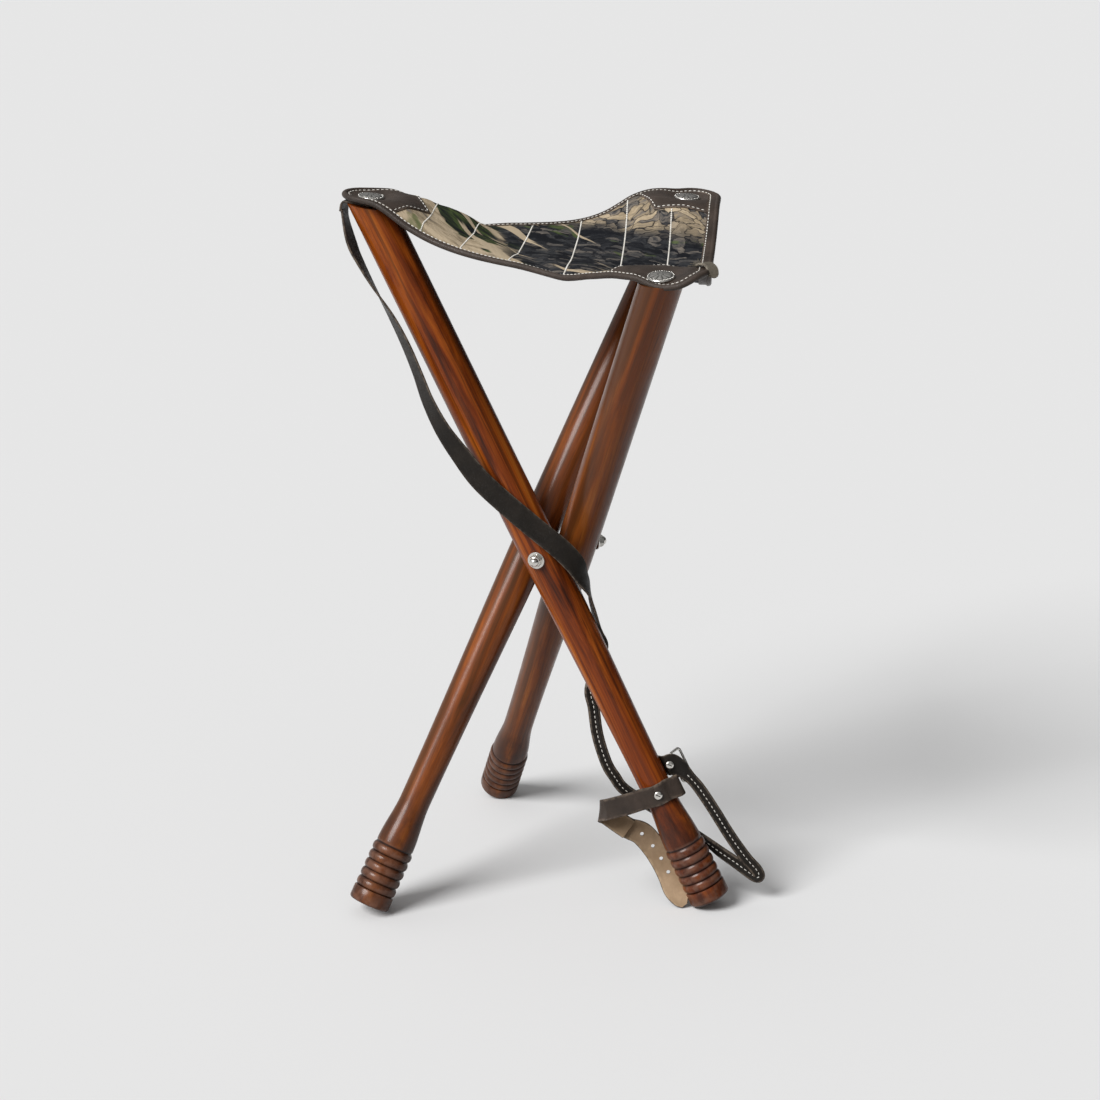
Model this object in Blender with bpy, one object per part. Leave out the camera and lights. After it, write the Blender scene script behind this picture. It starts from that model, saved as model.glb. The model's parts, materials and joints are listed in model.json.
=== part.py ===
"""Folding tripod stool: three turned legs on a three-armed bolt, a sling seat and its straps.

The legs cross at the bolt and each swings on its own stud.  The seat hangs between the leg tops.
Metres, +Z up, standing on z = 0 with the middle of its bounding box over the origin.
"""
import math

import bmesh
import bpy
from mathutils import Matrix, Vector

# Fits shared by all pieces
GAP = 0.0003                # clearance between pieces that touch
LEGS = ("a", "b", "c")

# Stance of the open stool, degrees for angles
HUB_HEIGHT = 0.329          # centre of the three-armed bolt above the floor
STUD_OFFSET = 0.0265        # hub centre to leg axis
STUD_AZIMUTH = {"a": -106.5, "b": 21.5, "c": 125.5}
SPLAY = {"a": 27.0, "b": 33.5, "c": 30.5}

# Turned legs, stations measured up from the foot end
LEG_LENGTH = 0.720
SHAFT_RADIUS = 0.0186
SHAFT_STATION = 0.420       # shaft is at its full radius from here up
NECK_RADIUS = 0.0143
NECK_STATION = 0.105
FLARE_RADIUS = 0.0179       # where the flare meets the first ring
FOOT_RADIUS = 0.0193
CAP_LENGTH = 0.014
CAP_ROUND = 0.0026
RING_COUNT = 5
RING_PITCH = 0.0088
RING_DEPTH = 0.0019
LEG_SIDES = 16

# Three-armed bolt and its fasteners
STUD_RADIUS = 0.003
BOSS_RADIUS = 0.005
BOSS_HEIGHT = 0.012
WASHER_THICKNESS = 0.0012
INNER_WASHER_RADIUS = 0.0057
OUTER_WASHER_RADIUS = 0.0078
NUT_FLATS = 0.010
NUT_HEX_HEIGHT = 0.0052
NUT_DOME_RADIUS = 0.0043
NUT_WALL = 0.0014           # metal over the end of the stud
HARDWARE_SIDES = 16

# Sling seat
CANVAS_THICKNESS = 0.0014
LEATHER_THICKNESS = 0.0011
SEAT_CORNER_RADIUS = 0.026  # outer edge round a leg top
SEAT_CORNER_SHIFT = {"a": (0.0, 0.0), "b": (0.016, 0.0), "c": (0.006, 0.0)}
SEAT_EDGE_BOW = {"a": 0.015, "b": 0.003, "c": 0.015}   # draw-in of the edge that leaves each corner
SEAT_SAG = 0.029
SEAT_FLAT_SHARE = {"a": 0.075, "b": 0.092, "c": 0.100}  # share of a side that lies flat at each corner
SEAT_BEND_SHARE = 0.090     # share of a side over which a corner then bends down
BINDING_WIDTH = 0.0095
BINDING_HALF_HEIGHT = 0.0026
CANVAS_INSET = 0.0035       # canvas edge inside the outer edge of the binding
PATCH_ALONG_EDGE = 0.041
PATCH_REACH = 0.054         # leg top to the inner tip of a corner patch
LAYER_GAP = 0.0018          # clearance between the sewn layers, over their facets
ARC_STEPS = 7
EDGE_STEPS = 17
EDGE_CROWDING = 0.60        # stations crowd towards the corners
PANEL_RINGS = 11
PANEL_CROWDING = 1.3        # rings crowd towards the edge
PATCH_RINGS = 5

# Rosette screws that hold the seat to the leg tops
ROSETTE_RADIUS = 0.0122
ROSETTE_HEIGHT = 0.0042
ROSETTE_RIM = 0.0009
ROSETTE_SHANK_RADIUS = 0.0021
ROSETTE_SHANK_LENGTH = 0.030

# Leather straps on leg a
STRAP_WIDTH = 0.020
STRAP_THICKNESS = 0.0020
NARROW_WIDTH = 0.0104       # carry strap where it is folded double and sewn
NARROW_THICKNESS = 0.0036
STRAP_FRONT_TURN = 22.0     # strap front direction, turned from leg a's stud about the leg
TAIL_TIP_WIDTH = 0.007
HOLE_RADIUS = 0.0018
TAIL_HOLES = (0.082, 0.0665, 0.052, 0.038)   # stations along leg a
BAND_STATION = 0.114
SCREW_TURN = -5.0           # from the strap front direction
SCREW_HEAD_RADIUS = 0.0039
SCREW_HEAD_HEIGHT = 0.0018
SCREW_SHANK_RADIUS = 0.0015
SCREW_SHANK_LENGTH = 0.011

# Buckle behind the strap end, in the strap frame of leg a
BUCKLE_STATION = 0.118
BUCKLE_BAR_SIDE = 0.0250
BUCKLE_LENGTH = 0.030
BUCKLE_REACH = 0.0135
WIRE_RADIUS = 0.0013
WIRE_SIDES = 8
PRONG_RADIUS = 0.0010
PRONG_EYE_WIDTH = 0.0024
PRONG_OVERHANG = 0.0012
TAB_STATION = 0.120
TAB_LENGTH = 0.0066         # flat leaf of the buckle tab beyond the bar
RIVET_SIDE = 0.0204
RIVET_STATION = 0.1255
RIVET_HEAD_RADIUS = 0.0038
RIVET_HEAD_HEIGHT = 0.0013
RIVET_POST_RADIUS = 0.0015


def smoothstep(value):
    """Ease a share from 0 to 1."""
    share = min(max(value, 0.0), 1.0)
    return share * share * (3.0 - 2.0 * share)


def make_material(name, colour, roughness, metallic=0.0):
    """Principled material of one finish."""
    material = bpy.data.materials.new(name)
    material.use_nodes = True
    shader = material.node_tree.nodes["Principled BSDF"]
    shader.inputs["Base Color"].default_value = (*colour, 1.0)
    shader.inputs["Roughness"].default_value = roughness
    shader.inputs["Metallic"].default_value = metallic
    material.diffuse_color = (*colour, 1.0)
    return material


def add_node(name, bm, material, parent, sharp_angle=40.0):
    """Turn a bmesh in its parent's frame into a named object."""
    bmesh.ops.recalc_face_normals(bm, faces=bm.faces)
    mesh = bpy.data.meshes.new(name)
    bm.to_mesh(mesh)
    bm.free()
    mesh.shade_smooth()
    mesh.set_sharp_from_angle(angle=math.radians(sharp_angle))
    node = bpy.data.objects.new(name, mesh)
    bpy.context.scene.collection.objects.link(node)
    node.parent = parent
    if material is None:
        node.hide_render = True
        node.display_type = "WIRE"
    else:
        mesh.materials.append(material)
    return node


def add_empty(name, matrix, parent=None):
    """Empty that carries a moving group on its joint axis."""
    empty = bpy.data.objects.new(name, None)
    empty.empty_display_size = 0.03
    bpy.context.scene.collection.objects.link(empty)
    empty.parent = parent
    empty.matrix_local = matrix
    return empty


def combine(node, cutter, operation="DIFFERENCE"):
    """Add a Boolean modifier that uses a hidden helper object."""
    modifier = node.modifiers.new(cutter.name, "BOOLEAN")
    modifier.operation = operation
    modifier.solver = "EXACT"
    modifier.object = cutter


def lathe(profile, sides):
    """Closed solid of revolution about Z from (z, radius) pairs that run from one end to the other."""
    bm = bmesh.new()
    rings = []
    for z, radius in profile:
        turns = [2.0 * math.pi * i / sides for i in range(sides)]
        rings.append([bm.verts.new((radius * math.cos(t), radius * math.sin(t), z)) for t in turns])
    for low, high in zip(rings, rings[1:]):
        for i in range(sides):
            j = (i + 1) % sides
            bm.faces.new((low[i], low[j], high[j], high[i]))
    bm.faces.new(rings[0])
    bm.faces.new(rings[-1])
    return bm


def loft(rings, closed=False):
    """Skin a row of equal point rings; an open row gets end caps."""
    bm = bmesh.new()
    loops = [[bm.verts.new(point) for point in ring] for ring in rings]
    count = len(loops[0])
    pairs = list(zip(loops, loops[1:]))
    if closed:
        pairs.append((loops[-1], loops[0]))
    for first, second in pairs:
        for i in range(count):
            j = (i + 1) % count
            bm.faces.new((first[i], first[j], second[j], second[i]))
    if not closed:
        bm.faces.new(loops[0])
        bm.faces.new(loops[-1])
    return bm


def tube(length, outer, inner, sides=HARDWARE_SIDES):
    """Ring of rectangular section from z = 0 to length."""
    turns = [2.0 * math.pi * i / sides for i in range(sides)]
    section = ((inner, 0.0), (outer, 0.0), (outer, length), (inner, length))
    rings = [[(r * math.cos(t), r * math.sin(t), z) for r, z in section] for t in turns]
    return loft(rings, closed=True)


def rod(start, end, radius, sides=HARDWARE_SIDES):
    """Straight round bar between two points."""
    start, end = Vector(start), Vector(end)
    bm = lathe([(0.0, radius), ((end - start).length, radius)], sides)
    turn = (end - start).to_track_quat("Z", "Y").to_matrix().to_4x4()
    bm.transform(Matrix.Translation(start) @ turn)
    return bm


def placed(bm, matrix):
    """Move a bmesh and hand it back."""
    bm.transform(matrix)
    return bm


def spline(points, steps):
    """Catmull-Rom samples through a row of vectors."""
    rows = [points[0]] + list(points) + [points[-1]]
    samples = []
    for p0, p1, p2, p3 in zip(rows, rows[1:], rows[2:], rows[3:]):
        for i in range(steps):
            t = i / steps
            samples.append(0.5 * (2 * p1 + (p2 - p0) * t + (2 * p0 - 5 * p1 + 4 * p2 - p3) * t * t
                                  + (3 * p1 - p0 - 3 * p2 + p3) * t ** 3))
    return samples + [Vector(points[-1])]


def ribbon(points, normals, widths, thicknesses, steps):
    """Flat strap along a smooth path; its grain side faces the normals."""
    path = spline(points, steps)
    facing = spline(normals, steps)
    sizes = spline([Vector((w, t, 0.0)) for w, t in zip(widths, thicknesses)], steps)
    sections = []
    for i, (centre, normal, size) in enumerate(zip(path, facing, sizes)):
        tangent = (path[min(i + 1, len(path) - 1)] - path[max(i - 1, 0)]).normalized()
        across = tangent.cross(normal).normalized() * size.x / 2.0
        through = across.cross(tangent).normalized() * size.y / 2.0
        sections.append([centre - across - through, centre + across - through,
                         centre + across + through, centre - across + through])
    return loft(sections)


# Turned legs

def leg_profile():
    """(station, radius) pairs of the turned leg from its foot end to its top."""
    rows = [(0.0, FOOT_RADIUS - CAP_ROUND),
            (CAP_ROUND * 0.3, FOOT_RADIUS - CAP_ROUND * 0.3),
            (CAP_ROUND, FOOT_RADIUS),
            (CAP_LENGTH - CAP_ROUND, FOOT_RADIUS)]
    for ring in range(RING_COUNT):
        base = CAP_LENGTH + ring * RING_PITCH
        rows.append((base, FOOT_RADIUS - RING_DEPTH))
        for share, depth in ((0.2, 0.28), (0.5, 0.0), (0.8, 0.28)):
            rows.append((base + share * RING_PITCH, FOOT_RADIUS - depth * RING_DEPTH))
    flare_foot = CAP_LENGTH + RING_COUNT * RING_PITCH
    rows.append((flare_foot, FOOT_RADIUS - RING_DEPTH))
    flare_start = flare_foot + RING_DEPTH
    for i in range(7):
        share = i / 6.0
        station = flare_start + share * (NECK_STATION - flare_start)
        rows.append((station, FLARE_RADIUS + smoothstep(share) * (NECK_RADIUS - FLARE_RADIUS)))
    for i in range(1, 11):
        station = NECK_STATION + i / 10.0 * (SHAFT_STATION - NECK_STATION)
        rows.append((station, leg_radius(station)))
    rows.append((LEG_LENGTH + SHAFT_RADIUS, SHAFT_RADIUS))
    return rows


def leg_radius(station):
    """Radius of the shaft above the neck."""
    share = (station - NECK_STATION) / (SHAFT_STATION - NECK_STATION)
    return NECK_RADIUS + smoothstep(share) * (SHAFT_RADIUS - NECK_RADIUS)


def foot_to_pivot(leg):
    """Length from foot end to stud that sets the tilted foot's lowest edge on the floor."""
    tilt = math.radians(SPLAY[leg])
    drop = max(radius * math.sin(tilt) - station * math.cos(tilt) for station, radius in leg_profile())
    return (HUB_HEIGHT - drop) / math.cos(tilt)


def leg_matrix(leg):
    """Frame of a leg: X along its stud, Z up the leg, origin on the stud axis, from the hub centre."""
    azimuth = math.radians(STUD_AZIMUTH[leg])
    turn = Matrix.Rotation(azimuth, 4, "Z") @ Matrix.Rotation(math.radians(SPLAY[leg]), 4, "X")
    return turn @ Matrix.Translation((STUD_OFFSET, 0.0, 0.0))


def leg_top(leg):
    """Middle of a leg's level top, from the hub centre."""
    return leg_matrix(leg) @ Vector((0.0, 0.0, LEG_LENGTH - foot_to_pivot(leg)))


def top_matrix(leg):
    """Level frame on a leg top in the leg's own frame, with Z up."""
    top = Vector((0.0, 0.0, LEG_LENGTH - foot_to_pivot(leg)))
    return Matrix.Translation(top) @ Matrix.Rotation(-math.radians(SPLAY[leg]), 4, "X")


def build_leg(leg, pivot, material):
    """Turned leg with a level top, a stud hole and a pilot hole for its rosette."""
    bm = lathe(leg_profile(), LEG_SIDES)
    bm.transform(Matrix.Translation((0.0, 0.0, -foot_to_pivot(leg))))
    level = top_matrix(leg)
    cut = bmesh.ops.bisect_plane(
        bm, geom=bm.verts[:] + bm.edges[:] + bm.faces[:], plane_co=level.translation,
        plane_no=level.to_3x3() @ Vector((0.0, 0.0, 1.0)), clear_outer=True)
    rim = [part for part in cut["geom_cut"] if isinstance(part, bmesh.types.BMEdge)]
    bmesh.ops.contextual_create(bm, geom=rim)
    node = add_node("leg_" + leg, bm, material, pivot, 30.0)
    stud_hole = rod((-2 * SHAFT_RADIUS, 0, 0), (2 * SHAFT_RADIUS, 0, 0), STUD_RADIUS + GAP)
    combine(node, add_node("stud_hole_" + leg, stud_hole, None, pivot))
    depth = ROSETTE_SHANK_LENGTH - seat_stack(leg) + GAP
    pilot = rod((0, 0, -depth), (0, 0, ROSETTE_RADIUS), ROSETTE_SHANK_RADIUS + GAP)
    combine(node, add_node("pilot_hole_" + leg, placed(pilot, level), None, pivot))
    return node


# Three-armed bolt, washers and cap nuts

def pivot_radius(leg):
    """Leg radius at its stud."""
    return leg_radius(foot_to_pivot(leg))


def stud_matrix(leg, distance):
    """Frame on a stud with Z pointing out along it, from the hub centre."""
    turn = Matrix.Rotation(math.radians(STUD_AZIMUTH[leg]), 4, "Z") @ Matrix.Rotation(math.pi / 2, 4, "Y")
    return turn @ Matrix.Translation((0.0, 0.0, distance))


def nut_seat(leg):
    """Distance from the hub centre to the underside of a cap nut."""
    return STUD_OFFSET + pivot_radius(leg) + WASHER_THICKNESS + 2 * GAP


def build_bolt(hub, metal):
    """Hub boss with three studs fused to it."""
    boss = lathe([(-BOSS_HEIGHT / 2, BOSS_RADIUS), (BOSS_HEIGHT / 2, BOSS_RADIUS)], HARDWARE_SIDES)
    bolt = add_node("three_way_bolt", boss, metal, hub)
    for leg in LEGS:
        stud = lathe([(0.0, STUD_RADIUS), (nut_seat(leg) + NUT_HEX_HEIGHT, STUD_RADIUS)], HARDWARE_SIDES)
        combine(bolt, add_node("stud_" + leg, placed(stud, stud_matrix(leg, 0.0)), None, hub), "UNION")


def build_fasteners(leg, hub, metal):
    """Inner washer, outer washer and cap nut of one stud."""
    bore = STUD_RADIUS + GAP
    inner_seat = STUD_OFFSET - pivot_radius(leg) - GAP - WASHER_THICKNESS
    inner = tube(WASHER_THICKNESS, INNER_WASHER_RADIUS, bore)
    add_node("inner_washer_" + leg, placed(inner, stud_matrix(leg, inner_seat)), metal, hub)
    outer = tube(WASHER_THICKNESS, OUTER_WASHER_RADIUS, bore)
    outer_seat = nut_seat(leg) - GAP - WASHER_THICKNESS
    add_node("outer_washer_" + leg, placed(outer, stud_matrix(leg, outer_seat)), metal, hub)
    corner = NUT_FLATS / math.sqrt(3.0)
    hexagon = lathe([(0.0, corner - GAP), (GAP, corner), (NUT_HEX_HEIGHT - GAP, corner),
                     (NUT_HEX_HEIGHT, corner - GAP)], 6)
    nut = add_node("cap_nut_" + leg, placed(hexagon, stud_matrix(leg, nut_seat(leg))), metal, hub)
    crown = NUT_HEX_HEIGHT + GAP + NUT_WALL - NUT_DOME_RADIUS / 2
    rise = [math.radians(15.0 * i) for i in range(6)]
    dome_rows = [(NUT_HEX_HEIGHT / 2, NUT_DOME_RADIUS), (crown, NUT_DOME_RADIUS)]
    dome_rows += [(crown + NUT_DOME_RADIUS * math.sin(a), NUT_DOME_RADIUS * math.cos(a)) for a in rise[1:]]
    dome = lathe(dome_rows, HARDWARE_SIDES)
    hole = lathe([(-GAP, bore), (NUT_HEX_HEIGHT + GAP, bore)], HARDWARE_SIDES)
    for name, helper, operation in (("nut_dome_", dome, "UNION"), ("nut_bore_", hole, "DIFFERENCE")):
        helper.transform(stud_matrix(leg, nut_seat(leg)))
        combine(nut, add_node(name + leg, helper, None, hub), operation)


# Sling seat, all in the hub frame

def seat_stack(leg):
    """Height of the leather and canvas between a leg top and its rosette."""
    strap = STRAP_THICKNESS + GAP if leg == "a" else 0.0
    return strap + GAP + 2 * (LEATHER_THICKNESS + LAYER_GAP) + CANVAS_THICKNESS


def canvas_level(leg):
    """Height of the middle of the canvas over a leg top."""
    under = seat_stack(leg) - LEATHER_THICKNESS - LAYER_GAP - CANVAS_THICKNESS / 2
    return leg_top(leg).z + under


def seat_shares(x, y):
    """Shares of the three corners at a point in plan, drawn to the nearest corner close to its leg top."""
    (ax, ay), (bx, by), (cx, cy) = [leg_top(leg).xy for leg in LEGS]
    area = (by - cy) * (ax - cx) + (cx - bx) * (ay - cy)
    share_a = ((by - cy) * (x - cx) + (cx - bx) * (y - cy)) / area
    share_b = ((cy - ay) * (x - cx) + (ax - cx) * (y - cy)) / area
    shares = [max(share, 0.0) for share in (share_a, share_b, 1.0 - share_a - share_b)]
    shares = [share / sum(shares) for share in shares]
    nearest = max(range(3), key=lambda index: shares[index])
    away = 1.0 - shares[nearest]
    if 0.0 < away < 0.5:
        flat = SEAT_FLAT_SHARE[LEGS[nearest]]
        pull = (flat + SEAT_BEND_SHARE) * ((1.0 - 2.0 * away) / (1.0 - 2.0 * flat)) ** 2
        eased = soft_ramp(away - pull, SEAT_BEND_SHARE)
        shares = [share * eased / away for share in shares]
        shares[nearest] = 1.0 - eased
    return shares


def soft_ramp(value, bend):
    """Zero below a bend, the value itself above it, and a smooth curve between."""
    if abs(value) >= bend:
        return max(value, 0.0)
    return (value + bend) ** 2 / (4.0 * bend)


def seat_height(x, y):
    """Middle of the canvas at a point in plan: level at the corners and slung between them."""
    a, b, c = seat_shares(x, y)
    level = a * canvas_level("a") + b * canvas_level("b") + c * canvas_level("c")
    return level - 4.0 * SEAT_SAG * (a * b + b * c + c * a)


def seat_corner(leg):
    """Middle of a seat corner's round edge in plan."""
    return leg_top(leg).xy + Vector(SEAT_CORNER_SHIFT[leg])


def edge_direction(leg, other):
    """Direction in plan from one seat corner to the next."""
    return (seat_corner(other) - seat_corner(leg)).normalized()


def corner_arc(leg, offset):
    """Plan points round one corner at a distance from its middle, counter-clockwise."""
    before = edge_direction(LEGS[LEGS.index(leg) - 1], leg)
    after = edge_direction(leg, LEGS[(LEGS.index(leg) + 1) % 3])
    start = math.atan2(-before.x, before.y)
    sweep = (math.atan2(-after.x, after.y) - start) % (2.0 * math.pi)
    turns = [start + sweep * i / ARC_STEPS for i in range(ARC_STEPS + 1)]
    middle = seat_corner(leg)
    return [middle + offset * Vector((math.cos(t), math.sin(t))) for t in turns]


def edge_point(leg, other, distance, offset):
    """Plan point along an edge, at an offset outside the line between two corners."""
    start, end = seat_corner(leg), seat_corner(other)
    along = edge_direction(leg, other)
    share = distance / (end - start).length
    bow = SEAT_EDGE_BOW[leg] * 16.0 * (share * (1.0 - share)) ** 2
    return start + along * distance + Vector((along.y, -along.x)) * (offset - bow)


def seat_outline(offset):
    """Closed plan outline of the seat, counter-clockwise."""
    points = []
    for index, leg in enumerate(LEGS):
        other = LEGS[(index + 1) % 3]
        length = (seat_corner(other) - seat_corner(leg)).length
        points += corner_arc(leg, offset)
        for i in range(1, EDGE_STEPS):
            turn = 2.0 * math.pi * i / EDGE_STEPS
            share = (turn - EDGE_CROWDING * math.sin(turn)) / (2.0 * math.pi)
            points.append(edge_point(leg, other, length * share, offset))
    return points


def on_seat(point, height):
    """Plan point lifted to a height over the middle of the canvas."""
    return Vector((point.x, point.y, seat_height(point.x, point.y) + height))


def sheet_rings(plan_rings, low, high):
    """Rings of a sheet that follows the seat, up its inner wall, out, down and back underneath."""
    top = [[on_seat(point, high) for point in ring] for ring in plan_rings]
    bottom = [[on_seat(point, low) for point in ring] for ring in plan_rings]
    return top + bottom[::-1]


def build_panel(hub, material):
    """Canvas sling with a screw hole over each leg top."""
    seam = seat_outline(SEAT_CORNER_RADIUS - BINDING_WIDTH)
    middle = sum(seam, Vector((0.0, 0.0))) / len(seam)
    shares = [1.0 - (1.0 - (i + 0.5) / (PANEL_RINGS + 0.5)) ** PANEL_CROWDING for i in range(PANEL_RINGS + 1)]
    rings = [[middle.lerp(point, share) for point in seam] for share in shares]
    rings.append(seat_outline(SEAT_CORNER_RADIUS - CANVAS_INSET))
    half = CANVAS_THICKNESS / 2
    panel = add_node("seat_panel", loft(sheet_rings(rings, -half, half)), material, hub, 60.0)
    for leg in LEGS:
        hole = rod((0, 0, -SEAT_CORNER_RADIUS), (0, 0, SEAT_CORNER_RADIUS), ROSETTE_SHANK_RADIUS + GAP)
        hole.transform(Matrix.Translation(leg_top(leg)))
        combine(panel, add_node("canvas_hole_" + leg, hole, None, hub))


def build_binding(hub, material):
    """Leather strip folded round the canvas edge, with a rounded bead outside."""
    outer, bead = SEAT_CORNER_RADIUS, BINDING_HALF_HEIGHT
    inner, slot = outer - BINDING_WIDTH, CANVAS_THICKNESS / 2 + 3 * GAP
    groove = outer - CANVAS_INSET + GAP
    section = [(inner, slot), (inner, bead)]
    section += [(outer - bead + bead * math.sin(math.radians(t)), bead * math.cos(math.radians(t)))
                for t in (0, 45, 90, 135, 180)]
    section += [(inner, -bead), (inner, -slot), (groove, -slot), (groove, slot)]
    columns = [seat_outline(offset) for offset, _ in section]
    rings = [[on_seat(column[i], height) for column, (_, height) in zip(columns, section)]
             for i in range(len(columns[0]))]
    add_node("seat_binding", loft(rings, closed=True), material, hub, 60.0)


def patch_outline(leg):
    """Kite-shaped plan outline of a corner patch inside the binding."""
    offset = SEAT_CORNER_RADIUS - BINDING_WIDTH - GAP
    before = LEGS[LEGS.index(leg) - 1]
    after = LEGS[(LEGS.index(leg) + 1) % 3]
    length = (seat_corner(leg) - seat_corner(before)).length
    middle = sum((leg_top(other).xy for other in LEGS), Vector((0.0, 0.0))) / 3.0
    tip = leg_top(leg).xy + (middle - leg_top(leg).xy).normalized() * PATCH_REACH
    points = [edge_point(before, leg, length - PATCH_ALONG_EDGE * share, offset) for share in (1.0, 0.7, 0.4)]
    points += corner_arc(leg, offset)
    points += [edge_point(leg, after, PATCH_ALONG_EDGE * share, offset) for share in (0.4, 0.7, 1.0)]
    sides = [points[-1].lerp(tip, share) for share in (0.25, 0.5, 0.75)]
    return points + sides + [tip] + [tip.lerp(points[0], share) for share in (0.25, 0.5, 0.75)]


def build_patches(leg, hub, material):
    """Leather corner patches above and below the canvas."""
    outline = patch_outline(leg)
    middle = leg_top(leg).xy
    bore = ROSETTE_SHANK_RADIUS + 2 * GAP
    first = math.atan2(*(outline[0] - middle).yx)
    faced = [(math.atan2(*(point - middle).yx) - first) % (2.0 * math.pi) for point in outline]
    turns = [first + (turn + 2.0 * math.pi * i / len(outline)) / 2.0 for i, turn in enumerate(faced)]
    hole = [middle + bore * Vector((math.cos(turn), math.sin(turn))) for turn in turns]
    rings = [[inner.lerp(outer, i / PATCH_RINGS) for inner, outer in zip(hole, outline)]
             for i in range(PATCH_RINGS + 1)]
    low = CANVAS_THICKNESS / 2 + LAYER_GAP
    high = low + LEATHER_THICKNESS
    for name, bottom, top in (("corner_patch_", low, high), ("under_patch_", -high, -low)):
        add_node(name + leg, loft(sheet_rings(rings, bottom, top), closed=True), material, hub, 60.0)


def build_rosette(leg, pivot, metal):
    """Domed ornamental screw through the seat corner into the leg top."""
    base = seat_stack(leg) + GAP
    rise = [math.radians(15.0 * i) for i in range(6)]
    rows = [(base - ROSETTE_SHANK_LENGTH, ROSETTE_SHANK_RADIUS), (base, ROSETTE_SHANK_RADIUS),
            (base, ROSETTE_RADIUS)]
    rows += [(base + ROSETTE_RIM + (ROSETTE_HEIGHT - ROSETTE_RIM) * math.sin(a), ROSETTE_RADIUS * math.cos(a))
             for a in rise]
    rosette = lathe(rows, HARDWARE_SIDES)
    add_node("rosette_screw_" + leg, placed(rosette, top_matrix(leg)), metal, pivot)


# Straps on leg a, in the leg's own frame

def strap_matrix():
    """Strap frame of leg a: X to the strap front, Y to its side, Z up from the foot end."""
    turn = Matrix.Rotation(math.radians(STRAP_FRONT_TURN), 4, "Z")
    return turn @ Matrix.Translation((0.0, 0.0, -foot_to_pivot("a")))


def strap_point(front, side, station):
    """Point in leg a's frame from a strap front and side distance and a station above the foot end."""
    return strap_matrix() @ Vector((front, side, station))


def facing(front, side):
    """Strap normal square to leg a."""
    return (strap_matrix().to_3x3() @ Vector((front, side, 0.0))).normalized()


def round_leg(angle, station, lift):
    """Strap point that hugs leg a at an angle from the strap front, with its outward normal."""
    reach = leg_radius(station) + GAP + STRAP_THICKNESS / 2 + lift
    turn = math.radians(angle)
    front, side = math.cos(turn), math.sin(turn)
    return strap_point(reach * front, reach * side, station), facing(front, side)


def strap_run(rows):
    """Free strap points from (front, side, station, normal front, normal side) rows."""
    return [(strap_point(f, s, z), facing(nf, ns)) for f, s, z, nf, ns in rows]


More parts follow.
